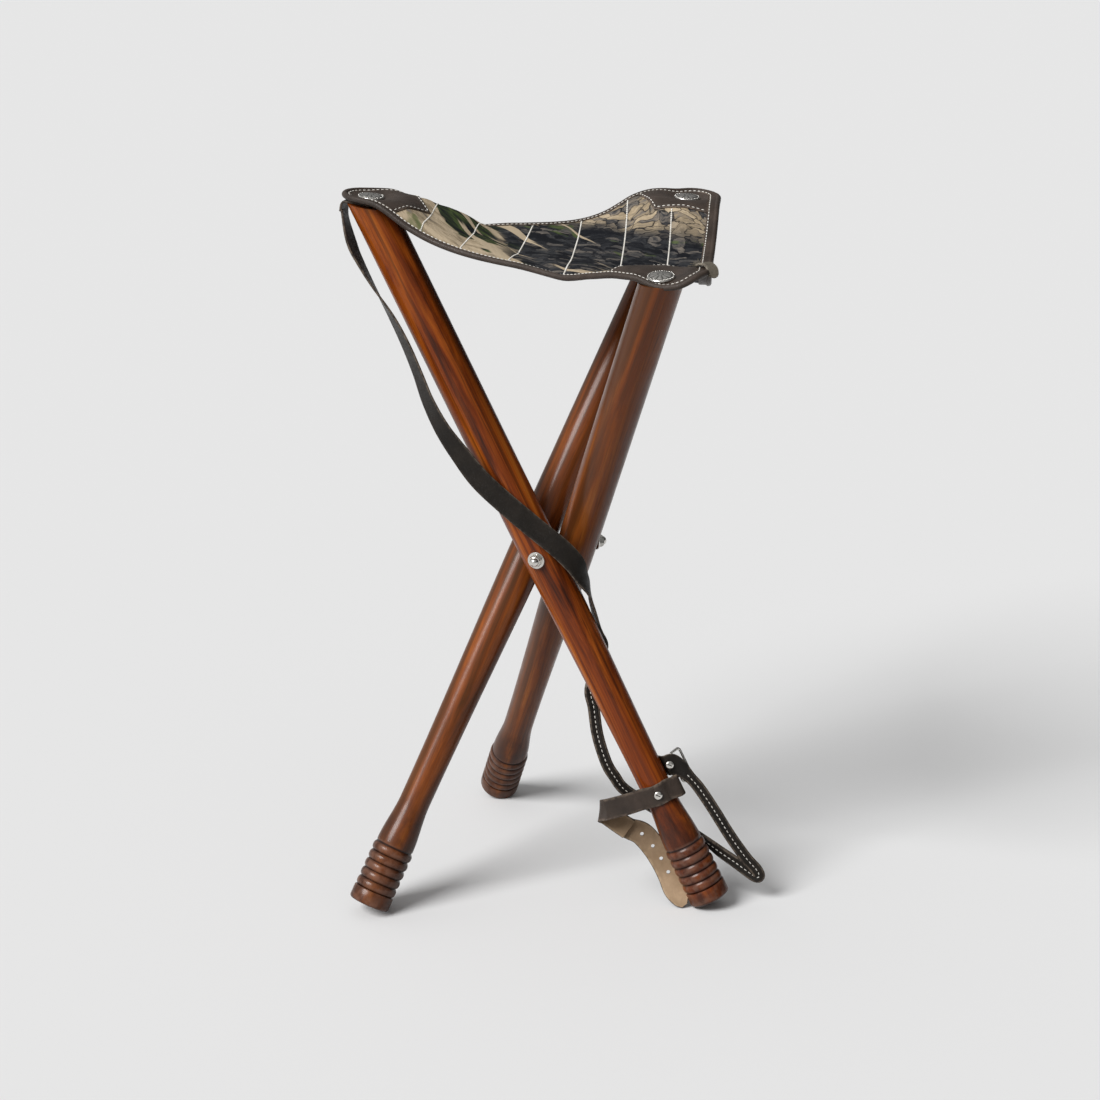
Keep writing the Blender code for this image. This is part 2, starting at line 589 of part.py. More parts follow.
def carry_strap_route():
    """Path of the carry strap with its normals, and how many of its points are wide at each end."""
    level = top_matrix("a")
    up = level.to_3x3() @ Vector((0.0, 0.0, 1.0))
    out = level.to_3x3() @ Vector((0.0, -1.0, 0.0))
    lie = GAP + STRAP_THICKNESS / 2
    edge = SHAFT_RADIUS / math.cos(math.radians(SPLAY["a"]))
    over = ((-0.008, lie, 0.0), (0.008, lie, 0.0), (edge + 0.0004, lie, 0.1), (edge + 0.0030, lie - 0.0012, 0.5),
            (edge + 0.0043, lie - 0.0045, 0.9), (edge + 0.0036, lie - 0.0120, 1.0))
    start = [(level.translation + out * reach + up * rise, (up * (1.0 - lean) + out * lean).normalized())
             for reach, rise, lean in over]
    top, pivot = LEG_LENGTH, foot_to_pivot("a")
    hang = strap_run([
        (0.001, -0.0306, top - 0.0273, -0.37, -0.93), (0.003, -0.0313, top - 0.0448, -0.35, -0.94),
        (0.005, -0.0303, top - 0.0690, -0.30, -0.95), (0.008, -0.0275, top - 0.1025, -0.20, -0.98),
        (0.010, -0.0272, top - 0.1305, -0.05, -0.99), (0.012, -0.0289, top - 0.1575, 0.20, -0.97),
        (0.0145, -0.0315, top - 0.1840, 0.45, -0.89), (0.0175, -0.0310, top - 0.2120, 0.65, -0.75)])
    cross = strap_run([
        (0.0195, -0.0267, pivot + 0.1180, 0.85, -0.50), (0.0212, -0.0205, pivot + 0.0890, 0.96, -0.25),
        (0.0222, -0.0090, pivot + 0.0590, 1.0, -0.10), (0.0218, 0.0030, pivot + 0.0315, 0.99, 0.10),
        (0.0140, 0.0200, pivot - 0.0135, 0.55, 0.83), (0.0020, 0.0232, pivot - 0.0475, 0.05, 1.0),
        (-0.0070, 0.0220, pivot - 0.0675, -0.30, 0.95), (-0.0145, 0.0165, pivot - 0.0930, -0.65, 0.75)])
    behind = strap_run([
        (-0.0210, 0.0010, pivot - 0.1180, -1.0, 0.03), (-0.0205, -0.0150, pivot - 0.1365, -1.0, -0.1)])
    loop = strap_run([
        (-0.0185, -0.0196, 0.208, -1.0, -0.1), (-0.0160, -0.0277, 0.183, -1.0, 0.0),
        (-0.0150, -0.0317, 0.156, -1.0, 0.0), (-0.0165, -0.0305, 0.140, -1.0, 0.0),
        (-0.0190, -0.0268, 0.123, -1.0, 0.0), (-0.0222, -0.0071, 0.090, -0.95, 0.3),
        (-0.0164, 0.0180, 0.050, -0.67, 0.74), (-0.0105, 0.0273, 0.033, -0.90, 0.45),
        (-0.0068, 0.0360, 0.018, -0.97, 0.25), (-0.0050, 0.0455, 0.000, -1.0, 0.1),
        (-0.0040, 0.0497, -0.003, -1.0, 0.0),
        (-0.0030, 0.0503, 0.004, -1.0, 0.0), (-0.0018, 0.0463, 0.019, -1.0, 0.0),
        (-0.0008, 0.0420, 0.045, -1.0, 0.0), (0.0, 0.0390, 0.0740, -1.0, 0.0)])
    end = strap_run([
        (0.0, 0.0358, 0.0960, -1.0, 0.0), (0.0, 0.0320, 0.1090, -1.0, 0.0), (0.0, 0.0278, 0.1190, -1.0, 0.0),
        (0.0002, 0.0228, 0.1245, -1.0, 0.0), (0.0008, 0.0182, 0.1258, -0.9, 0.4)])
    end += [round_leg(angle, station, 0.0003) for angle, station in (
        (102, 0.1262), (126, 0.1266), (152, 0.1270), (180, 0.1275), (208, 0.1280))]
    wide_start = len(start) + len(hang) + len(cross)
    return start + hang + cross + behind + loop + end, wide_start, len(end)


def build_carry_strap(pivot, leather):
    """Long carry strap from under the seat corner to the neck of leg a."""
    route, wide_start, wide_end = carry_strap_route()
    narrow = len(route) - wide_start - wide_end
    widths = [STRAP_WIDTH] * wide_start + [NARROW_WIDTH] * narrow + [STRAP_WIDTH] * wide_end
    depths = [STRAP_THICKNESS] * wide_start + [NARROW_THICKNESS] * narrow + [STRAP_THICKNESS] * wide_end
    widths[wide_start + narrow] = (STRAP_WIDTH + NARROW_WIDTH) / 2
    points, normals = zip(*route)
    strap = add_node("carry_strap", ribbon(points, normals, widths, depths, 3), leather, pivot, 50.0)
    hole = rod((0, 0, -STRAP_WIDTH), (0, 0, STRAP_WIDTH), ROSETTE_SHANK_RADIUS + GAP)
    combine(strap, add_node("strap_top_hole", placed(hole, top_matrix("a")), None, pivot))
    combine(strap, add_node("strap_rivet_hole", rivet_hole(), None, pivot))


def band_route():
    """Closing band: curled end, round the front of the leg, out to a fold and back."""
    curl = strap_run([
        (0.0062, 0.0172, BAND_STATION - 0.002, -0.9, -0.4), (0.0043, 0.0196, BAND_STATION - 0.002, -0.95, 0.3),
        (0.0064, 0.0216, BAND_STATION - 0.002, 0.1, 1.0), (0.0097, 0.0187, BAND_STATION - 0.002, 0.75, 0.66)])
    front = [round_leg(angle, BAND_STATION, 0.0002) for angle in (36, 18, 0, -18)]
    out = strap_run([
        (0.0160, -0.0170, BAND_STATION + 0.003, 1.0, 0.1), (0.0168, -0.0300, BAND_STATION + 0.005, 1.0, 0.05),
        (0.0155, -0.0460, BAND_STATION + 0.007, 0.97, -0.2), (0.0115, -0.0552, BAND_STATION + 0.006, 0.6, -0.8),
        (0.0065, -0.0575, BAND_STATION + 0.002, -0.2, -1.0), (0.0022, -0.0545, BAND_STATION - 0.005, -0.9, -0.4),
        (0.0002, -0.0470, BAND_STATION - 0.014, -1.0, -0.1), (-0.0008, -0.0400, BAND_STATION - 0.021, -1.0, 0.0)])
    return curl + front + out


def tail_route():
    """Closing strap tail from its lap behind the band down to its point beside the foot."""
    return strap_run([
        (-0.0026, -0.0470, 0.0995, -1.0, -0.1), (-0.0035, -0.0400, 0.0930, -1.0, 0.0),
        (-0.0055, -0.0310, 0.0820, -1.0, 0.0), (-0.0100, -0.0268, 0.0640, -1.0, 0.0),
        (-0.0135, -0.0262, 0.0480, -1.0, 0.0), (-0.0142, -0.0268, 0.0340, -1.0, 0.0),
        (-0.0130, -0.0272, 0.0200, -1.0, 0.0), (-0.0115, -0.0268, 0.0095, -1.0, 0.0)])


def build_closing_strap(pivot, leather):
    """Band and holed tail that tie the folded legs together."""
    points, normals = zip(*band_route())
    count = len(points)
    band = ribbon(points, normals, [STRAP_WIDTH] * count, [STRAP_THICKNESS] * count, 3)
    node = add_node("closing_band", band, leather, pivot, 50.0)
    combine(node, add_node("band_screw_hole", screw_hole(), None, pivot))
    points, normals = zip(*tail_route())
    widths = [STRAP_WIDTH] * (len(points) - 1) + [TAIL_TIP_WIDTH]
    tail = ribbon(points, normals, widths, [STRAP_THICKNESS] * len(points), 3)
    node = add_node("closing_tail", tail, leather, pivot, 50.0)
    for index, station in enumerate(TAIL_HOLES):
        centre = min(spline(points, 12), key=lambda point: abs((strap_matrix().inverted() @ point).z - station))
        reach = facing(STRAP_WIDTH, 0.0) * STRAP_WIDTH / 2
        hole = rod(centre - reach, centre + reach, HOLE_RADIUS, 10)
        combine(node, add_node(f"tail_hole_{index}", hole, None, pivot))


def screw_axis():
    """Outward direction of the band screw and the point where it meets the leg surface."""
    turn = math.radians(SCREW_TURN)
    direction = facing(math.cos(turn), math.sin(turn))
    return direction, strap_point(0.0, 0.0, BAND_STATION) + direction * leg_radius(BAND_STATION)


def screw_hole():
    """Clearance hole of the band screw."""
    direction, surface = screw_axis()
    return rod(surface - direction * (SCREW_SHANK_LENGTH + GAP), surface + direction * STRAP_WIDTH / 2,
               SCREW_SHANK_RADIUS + GAP)


def build_screw(pivot, leg_node, metal):
    """Pan-head screw that fixes the closing band to the leg."""
    combine(leg_node, add_node("screw_pilot", screw_hole(), None, pivot))
    direction, surface = screw_axis()
    seat = 2 * GAP + STRAP_THICKNESS + 0.0002 + GAP
    rows = [(-SCREW_SHANK_LENGTH, SCREW_SHANK_RADIUS), (seat, SCREW_SHANK_RADIUS), (seat, SCREW_HEAD_RADIUS),
            (seat + SCREW_HEAD_HEIGHT * 0.4, SCREW_HEAD_RADIUS),
            (seat + SCREW_HEAD_HEIGHT * 0.8, SCREW_HEAD_RADIUS * 0.8),
            (seat + SCREW_HEAD_HEIGHT, SCREW_HEAD_RADIUS * 0.4)]
    turn = direction.to_track_quat("Z", "Y").to_matrix().to_4x4()
    screw = lathe(rows, HARDWARE_SIDES)
    add_node("strap_screw", placed(screw, Matrix.Translation(surface) @ turn), metal, pivot)


# Buckle, its tab and its rivet

def tab_layers():
    """Front distances of the buckle tab's front leaf, the buckle bar and the tab's back leaf."""
    front_leaf = -STRAP_THICKNESS - 4 * GAP
    fold = WIRE_RADIUS + GAP + STRAP_THICKNESS / 2
    return front_leaf, front_leaf - fold, front_leaf - 2 * fold


def bar_point(along=0.0, reach=0.0, back=0.0):
    """Point on the buckle from its bar's middle, in leg a's frame."""
    return strap_point(tab_layers()[1] - back, BUCKLE_BAR_SIDE + reach, BUCKLE_STATION + along)


def build_tab(pivot, leather):
    """Leather tab folded round the buckle bar, slotted for the prong."""
    front, middle, back = tab_layers()
    fold = front - middle
    rows = [(front, BUCKLE_BAR_SIDE - TAB_LENGTH, 1.0, 0.0), (front, BUCKLE_BAR_SIDE - TAB_LENGTH / 2, 1.0, 0.0)]
    for step in range(5):
        turn = math.radians(45.0 * step)
        rows.append((middle + fold * math.cos(turn), BUCKLE_BAR_SIDE + fold * math.sin(turn),
                     math.cos(turn), math.sin(turn)))
    rows += [(back, BUCKLE_BAR_SIDE - TAB_LENGTH / 2, -1.0, 0.0), (back, BUCKLE_BAR_SIDE - TAB_LENGTH, -1.0, 0.0)]
    points, normals = zip(*strap_run([(f, s, TAB_STATION, nf, ns) for f, s, nf, ns in rows]))
    count = len(points)
    tab = ribbon(points, normals, [STRAP_WIDTH] * count, [STRAP_THICKNESS] * count, 2)
    node = add_node("buckle_tab", tab, leather, pivot, 50.0)
    combine(node, add_node("tab_rivet_hole", rivet_hole(), None, pivot))
    slot = bmesh.new()
    bmesh.ops.create_cube(slot, size=1.0)
    low, high = -prong_eye_radius() - GAP, fold + STRAP_THICKNESS
    size = (4 * fold, high - low, PRONG_EYE_WIDTH + 2 * GAP)
    slot.transform(Matrix.Translation((0.0, (low + high) / 2, 0.0)) @ Matrix.Diagonal((*size, 1.0)))
    bar = Matrix.Translation((middle, BUCKLE_BAR_SIDE, BUCKLE_STATION))
    combine(node, add_node("prong_slot", placed(slot, strap_matrix() @ bar), None, pivot))


def build_buckle(pivot, metal):
    """Wire buckle frame: a closed rounded rectangle with its bar in the tab."""
    bend = 2.5 * WIRE_RADIUS
    half = BUCKLE_LENGTH / 2
    corners = ((half - bend, BUCKLE_REACH - bend, 0.0), (half - bend, bend, 270.0),
               (-half + bend, bend, 180.0), (-half + bend, BUCKLE_REACH - bend, 90.0))
    path = []
    for along, reach, start in corners:
        for step in range(4):
            turn = math.radians(start + 90.0 - 30.0 * step)
            path.append((Vector((along, reach)) + bend * Vector((math.cos(turn), math.sin(turn))), turn))
    rings = []
    for i, (point, _) in enumerate(path):
        run = (path[(i + 1) % len(path)][0] - path[i - 1][0]).normalized()
        out = Vector((run.y, -run.x))
        ring = []
        for side in range(WIRE_SIDES):
            turn = 2.0 * math.pi * side / WIRE_SIDES
            spot = point + out * WIRE_RADIUS * math.cos(turn)
            ring.append(bar_point(spot.x, spot.y, WIRE_RADIUS * math.sin(turn)))
        rings.append(ring)
    add_node("buckle_frame", loft(rings, closed=True), metal, pivot, 60.0)


def prong_eye_radius():
    """Outer radius of the prong's eye."""
    return WIRE_RADIUS + GAP + 2 * PRONG_RADIUS - GAP


def build_prong(pivot, metal):
    """Prong with an eye round the buckle bar, resting behind the far side of the frame."""
    bar = strap_matrix() @ Matrix.Translation((tab_layers()[1], BUCKLE_BAR_SIDE, BUCKLE_STATION))
    joint = add_empty("prong_pivot", bar, pivot)
    eye = tube(PRONG_EYE_WIDTH, prong_eye_radius(), WIRE_RADIUS + GAP)
    eye.transform(Matrix.Translation((0.0, 0.0, -PRONG_EYE_WIDTH / 2)))
    prong = add_node("buckle_prong", eye, metal, joint)
    back = WIRE_RADIUS + GAP + PRONG_RADIUS
    start = (-back, PRONG_RADIUS, 0.0)
    tip = (-back - GAP, BUCKLE_REACH + PRONG_OVERHANG, 0.0)
    combine(prong, add_node("prong_rod", rod(start, tip, PRONG_RADIUS, 8), None, joint), "UNION")


def rivet_hole():
    """Clearance hole of the tab rivet."""
    return rod(strap_point(STRAP_WIDTH, RIVET_SIDE, RIVET_STATION),
               strap_point(-STRAP_WIDTH, RIVET_SIDE, RIVET_STATION), RIVET_POST_RADIUS + GAP)


def build_rivet(pivot, metal):
    """Two-headed rivet through the strap end and both leaves of the tab."""
    front = STRAP_THICKNESS / 2 + 4 * GAP
    back = tab_layers()[2] - STRAP_THICKNESS / 2 - 2 * GAP
    rows = [(back - RIVET_HEAD_HEIGHT, RIVET_HEAD_RADIUS * 0.6), (back, RIVET_HEAD_RADIUS),
            (back, RIVET_POST_RADIUS), (front, RIVET_POST_RADIUS), (front, RIVET_HEAD_RADIUS),
            (front + RIVET_HEAD_HEIGHT * 0.6, RIVET_HEAD_RADIUS * 0.85),
            (front + RIVET_HEAD_HEIGHT, RIVET_HEAD_RADIUS * 0.5)]
    rivet = lathe(rows, HARDWARE_SIDES)
    place = Matrix.Translation((0.0, RIVET_SIDE, RIVET_STATION)) @ Matrix.Rotation(math.pi / 2, 4, "Y")
    add_node("tab_rivet", placed(rivet, strap_matrix() @ place), metal, pivot)


def stand_on_origin(stool):
    """Set the stool on z = 0 with the middle of its bounding box over the origin."""
    bpy.context.view_layer.update()
    graph = bpy.context.evaluated_depsgraph_get()
    nodes = [node.evaluated_get(graph) for node in bpy.data.objects if node.type == "MESH" and not node.hide_render]
    points = [node.matrix_world @ vertex.co for node in nodes for vertex in node.data.vertices]
    for axis in (0, 1):
        values = [point[axis] for point in points]
        stool.location[axis] -= (min(values) + max(values)) / 2.0
    bpy.context.view_layer.update()


def main():
    """Build every piece of the stool."""
    for old in list(bpy.data.objects):
        bpy.data.objects.remove(old, do_unlink=True)
    wood = make_material("varnished_wood", (0.25, 0.07, 0.025), 0.30)
    canvas = make_material("printed_canvas", (0.16, 0.17, 0.12), 0.85)
    leather = make_material("dark_leather", (0.085, 0.065, 0.050), 0.55)
    nickel = make_material("nickel", (0.72, 0.70, 0.66), 0.22, 1.0)

    stool = add_empty("stool", Matrix.Identity(4))
    hub = add_empty("hub", Matrix.Translation((0.0, 0.0, HUB_HEIGHT)), stool)
    pivots = {leg: add_empty(f"leg_{leg}_pivot", leg_matrix(leg), hub) for leg in LEGS}
    build_bolt(hub, nickel)
    legs = {}
    for leg in LEGS:
        legs[leg] = build_leg(leg, pivots[leg], wood)
        build_fasteners(leg, hub, nickel)
        build_patches(leg, hub, leather)
        build_rosette(leg, pivots[leg], nickel)
    build_panel(hub, canvas)
    build_binding(hub, leather)
    build_carry_strap(pivots["a"], leather)
    build_closing_strap(pivots["a"], leather)
    build_screw(pivots["a"], legs["a"], nickel)
    build_tab(pivots["a"], leather)
    build_buckle(pivots["a"], nickel)
    build_prong(pivots["a"], nickel)
    build_rivet(pivots["a"], nickel)
    stand_on_origin(stool)


main()
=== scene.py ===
"""Dressed look of a folding tripod stool with turned legs, a sling seat and leather straps.

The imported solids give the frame.  Each class builds one sub-assembly on that frame, gives its pieces
their finishes and says which body carries them.  Metres throughout, +Z up.
"""
import json
import logging
import math
import random
from dataclasses import dataclass, field
from enum import Enum
from functools import cached_property
from typing import Optional, Sequence, Union

import bmesh
import bpy
from bmesh.types import BMEdge, BMesh
from bpy.types import Material, Mesh, Node, NodeSocket, NodeTree, Object
from mathutils import Matrix, Vector


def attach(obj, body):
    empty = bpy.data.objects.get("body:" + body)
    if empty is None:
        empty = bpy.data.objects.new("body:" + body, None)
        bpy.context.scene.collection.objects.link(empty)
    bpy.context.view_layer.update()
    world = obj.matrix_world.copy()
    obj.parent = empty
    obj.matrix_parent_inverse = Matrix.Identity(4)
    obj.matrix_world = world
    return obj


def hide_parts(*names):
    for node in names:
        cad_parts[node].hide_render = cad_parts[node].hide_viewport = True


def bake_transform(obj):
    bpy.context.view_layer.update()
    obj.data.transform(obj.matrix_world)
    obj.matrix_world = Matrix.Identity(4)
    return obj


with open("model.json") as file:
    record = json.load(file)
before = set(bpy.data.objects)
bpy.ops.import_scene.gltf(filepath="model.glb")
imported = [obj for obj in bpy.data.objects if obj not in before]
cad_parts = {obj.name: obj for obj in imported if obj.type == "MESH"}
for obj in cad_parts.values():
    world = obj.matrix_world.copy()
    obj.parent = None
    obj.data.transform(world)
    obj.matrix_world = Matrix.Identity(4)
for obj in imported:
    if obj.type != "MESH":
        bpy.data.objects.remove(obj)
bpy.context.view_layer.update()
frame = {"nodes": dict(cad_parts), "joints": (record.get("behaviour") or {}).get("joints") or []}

log = logging.getLogger("stool")

Triple = tuple[float, float, float]
Colour = Triple
Row = tuple[float, float]
Line = list[tuple[Vector, Vector]]
Value = Union[float, NodeSocket]

GAP = 0.0003   # air left between two pieces


class LegName(Enum):
    """The three legs, counter-clockwise from the one that carries the straps."""

    A = "a"
    B = "b"
    C = "c"

    @property
    def body(self) -> str:
        """Name of the body that carries the leg."""
        return "leg_" + self.value

    def turned(self, steps: int) -> "LegName":
        """Leg that comes a number of steps later round the stool."""
        return LEGS[(LEGS.index(self) + steps) % 3]


LEGS = list(LegName)


def per_leg(*values: object) -> dict[LegName, object]:
    """One value for each leg, in order."""
    return dict(zip(LEGS, values))


class Slot(Enum):
    """Material slots of the record."""

    WOOD = "varnished_wood"
    CANVAS = "printed_canvas"
    LEATHER = "dark_leather"
    NICKEL = "nickel"


class Face(Enum):
    """Sides of a leather strap, in the order of its material slots."""

    GRAIN = 0
    FLESH = 1
    EDGE = 2


class Hide(Enum):
    """Outer side of a strap's leather, by the name of its finish."""

    GRAIN = "grain"
    DARK = "dark"
    SUEDE = "suede"


# Node trees

class Board:
    """Adds nodes to one tree and wires them."""

    def __init__(self, tree: NodeTree) -> None:
        """Keep the tree that the nodes go into."""
        self.tree = tree

    def add(self, kind: str, inputs: Optional[dict] = None, **settings: object) -> Node:
        """Add one node.

        Args:
            kind: Blender's type of node.
            inputs: socket names or numbers with a value, or with a socket to link from.
            settings: properties of the node.

        Returns:
            The new node.
        """
        node = self.tree.nodes.new(kind)
        for name, value in settings.items():
            setattr(node, name, value)
        for key, value in (inputs or {}).items():
            if isinstance(value, NodeSocket):
                self.tree.links.new(value, node.inputs[key])
            else:
                node.inputs[key].default_value = value
        return node

    def value(self, kind: str, inputs: Optional[dict] = None, output: Union[int, str] = 0,
              **settings: object) -> NodeSocket:
        """One output of a new node."""
        return self.add(kind, inputs, **settings).outputs[output]

    def mapped(self, vector: NodeSocket, scale: Sequence[float], turn: float = 0.0,
               shift: Sequence[float] = (0.0, 0.0, 0.0)) -> NodeSocket:
        """Turn a coordinate about Z by degrees, then stretch and shift it."""
        turned = self.value("ShaderNodeMapping", {"Vector": vector,
                                                  "Rotation": (0.0, 0.0, math.radians(turn))})
        return self.value("ShaderNodeMapping", {"Vector": turned, "Scale": scale, "Location": shift})

    def noise(self, vector: NodeSocket, scale: Value, detail: float = 3.0, roughness: float = 0.5,
              distortion: float = 0.0) -> NodeSocket:
        """Noise value on a coordinate."""
        return self.value("ShaderNodeTexNoise", {"Vector": vector, "Scale": scale, "Detail": detail,
                                                 "Roughness": roughness, "Distortion": distortion})

    def between(self, value: NodeSocket, low: float, high: float, to_low: float = 0.0,
                to_high: float = 1.0) -> NodeSocket:
        """Smoothly map a range of values to another range."""
        return self.value("ShaderNodeMapRange", {0: value, 1: low, 2: high, 3: to_low, 4: to_high},
                          interpolation_type="SMOOTHSTEP")

    def mix(self, factor: Value, *ends: Union[Colour, NodeSocket]) -> NodeSocket:
        """Mix two colours by the share of the second."""
        first, second = (end if isinstance(end, NodeSocket) else (*end, 1.0) for end in ends)
        return self.value("ShaderNodeMix", {0: factor, 6: first, 7: second}, 2, data_type="RGBA")

    def product(self, first: NodeSocket, second: Value) -> NodeSocket:
        """Product of two values."""
        return self.value("ShaderNodeMath", {0: first, 1: second}, operation="MULTIPLY")

    def sum(self, first: NodeSocket, second: Value) -> NodeSocket:
        """Sum of two values."""
        return self.value("ShaderNodeMath", {0: first, 1: second}, operation="ADD")

    def bent(self, vector: NodeSocket, scale: float, amount: float) -> NodeSocket:
        """Coordinate pushed about by noise."""
        push = self.value("ShaderNodeTexNoise", {"Vector": vector, "Scale": scale, "Detail": 3.0}, "Color")
        return self.value("ShaderNodeVectorMath", {0: push, 1: (amount, amount, 0.0), 2: vector},
                          operation="MULTIPLY_ADD")

    def ramp(self, value: NodeSocket, stops: Sequence[tuple[float, Colour]]) -> NodeSocket:
        """Colour ramp over a value.

        Args:
            value: value along the ramp.
            stops: places and colours.

        Returns:
            The colour.
        """
        node = self.add("ShaderNodeValToRGB", {0: value})
        ramp = node.color_ramp
        while len(ramp.elements) < len(stops):
            ramp.elements.new(0.5)
        for element, (place, colour) in zip(ramp.elements, stops):
            element.position = place
            element.color = (*colour, 1.0)
        return node.outputs[0]

    def attribute(self, name: str, output: str = "Vector") -> NodeSocket:
        """Attribute of the piece by name."""
        return self.value("ShaderNodeAttribute", None, output, attribute_name=name)

    def place(self) -> NodeSocket:
        """Object coordinates of the piece."""
        return self.value("ShaderNodeTexCoord", None, "Object")

    def mottled(self, vector: NodeSocket, scale: float, low: float, high: float) -> NodeSocket:
        """Cloudy value between two limits."""
        return self.value("ShaderNodeGroup", {"Vector": vector, "Scale": scale, "Low": low, "High": high},
                          node_tree=EFFECTS.mottle)

    def worn(self, name: str, vector: NodeSocket, scale: float) -> NodeSocket:
        """Wear broken up along the edges that an attribute marks."""
        return self.value("ShaderNodeGroup", {"Mark": self.attribute(name, "Fac"), "Vector": vector,
                                              "Scale": scale}, node_tree=EFFECTS.wear)


def new_tree(name: str, kind: str, inputs: dict[str, object],
             outputs: dict[str, str]) -> tuple[Board, Node, Node]:
    """Make a node group with named sockets.

    Args:
        name: name of the group.
        kind: Blender's type of tree.
        inputs: default of each input, or the type of its socket in words.
        outputs: type of each output's socket.

    Returns:
        The board, the group's input node and its output node.
    """
    tree = bpy.data.node_groups.new(name, kind)
    for label, default in inputs.items():
        socket = {float: "Float", int: "Int"}.get(type(default), default)
        made = tree.interface.new_socket(label, in_out="INPUT", socket_type="NodeSocket" + socket)
        if socket is not default:
            made.default_value = default
    for label, socket in outputs.items():
        tree.interface.new_socket(label, in_out="OUTPUT", socket_type="NodeSocket" + socket)
    board = Board(tree)
    return board, board.add("NodeGroupInput"), board.add("NodeGroupOutput")


class ShaderEffects:
    """Shader groups that several finishes share."""

    def __init__(self) -> None:
        """Build each group once."""
        self.mottle = self._mottle()
        self.hide = self._hide()
        self.wear = self._wear()

    def _mottle(self) -> NodeTree:
        """Soft cloudy variation between two values.

        Returns:
            The group.
        """
        board, start, end = new_tree("surface_mottle", "ShaderNodeTree", {
            "Vector": "Vector", "Scale": 60.0, "Low": 0.0, "High": 1.0}, {"Value": "Float"})
        clouds = board.noise(start.outputs["Vector"], start.outputs["Scale"], 4.0, 0.55)
        spread = board.value("ShaderNodeMapRange", {0: clouds, 1: 0.3, 2: 0.7, 3: start.outputs["Low"],
                                                    4: start.outputs["High"]})
        board.tree.links.new(spread, end.inputs["Value"])
        return board.tree

    def _hide(self) -> NodeTree:
        """Pebbled leather surface with fine creases.

        Returns:
            The group.
        """
        board, start, end = new_tree("hide_grain", "ShaderNodeTree", {
            "Vector": "Vector", "Pebble Scale": 900.0}, {"Height": "Float", "Shade": "Float"})
        place, scale = start.outputs["Vector"], start.outputs["Pebble Scale"]
        pebble = board.value("ShaderNodeTexVoronoi", {"Vector": place, "Scale": scale}, "Distance",
                             feature="DISTANCE_TO_EDGE")
        cells = board.between(pebble, 0.0, 0.32)
        folds = board.noise(board.mapped(place, (1.0, 1.0, 0.5)), 210.0, 5.0, 0.6, 0.6)
        board.tree.links.new(board.sum(board.product(folds, 0.7), cells), end.inputs["Height"])
        board.tree.links.new(board.between(folds, 0.3, 0.7), end.inputs["Shade"])
        return board.tree

    def _wear(self) -> NodeTree:
        """Broken-up wear along a marked edge.

        Returns:
            The group.
        """
        board, start, end = new_tree("edge_wear", "ShaderNodeTree", {
            "Mark": 0.0, "Vector": "Vector", "Scale": 180.0}, {"Wear": "Float"})
        patchy = board.between(board.noise(start.outputs["Vector"], start.outputs["Scale"], 4.0), 0.36, 0.62)
        board.tree.links.new(board.product(patchy, start.outputs["Mark"]), end.inputs["Wear"])
        return board.tree


EFFECTS = ShaderEffects()


# Finishes

def new_material(name: str, metallic: float = 0.0, coat: float = 0.0, coat_roughness: float = 0.1,
                 specular: float = 0.5) -> tuple[Material, Board, Node]:
    """Make a material with a Principled shader.

    Args:
        name: name of the material.
        metallic: metal share.
        coat: clear coat weight.
        coat_roughness: roughness of the clear coat.
        specular: strength of the base reflection.

    Returns:
        The material, its board and its shader.
    """
    material = bpy.data.materials.new(name)
    material.use_nodes = True
    shader = next(node for node in material.node_tree.nodes if node.type == "BSDF_PRINCIPLED")
    for label, value in (("Metallic", metallic), ("Coat Weight", coat), ("Coat Roughness", coat_roughness),
                         ("Specular IOR Level", specular)):
        shader.inputs[label].default_value = value
    return material, Board(material.node_tree), shader


def wire(board: Board, shader: Node, colour: NodeSocket, roughness: NodeSocket,
         height: Optional[NodeSocket] = None, depth: float = 0.0002) -> None:
    """Link a finish to its shader.

    Args:
        board: board of the material.
        shader: Principled shader.
        colour: base colour.
        roughness: roughness.
        height: relief, if the finish has one.
        depth: depth of the relief in metres.
    """
    links = board.tree.links
    links.new(colour, shader.inputs["Base Color"])
    links.new(roughness, shader.inputs["Roughness"])
    if height is not None:
        bump = board.add("ShaderNodeBump", {"Height": height, "Distance": depth, "Strength": 1.0})
        links.new(bump.outputs[0], shader.inputs["Normal"])


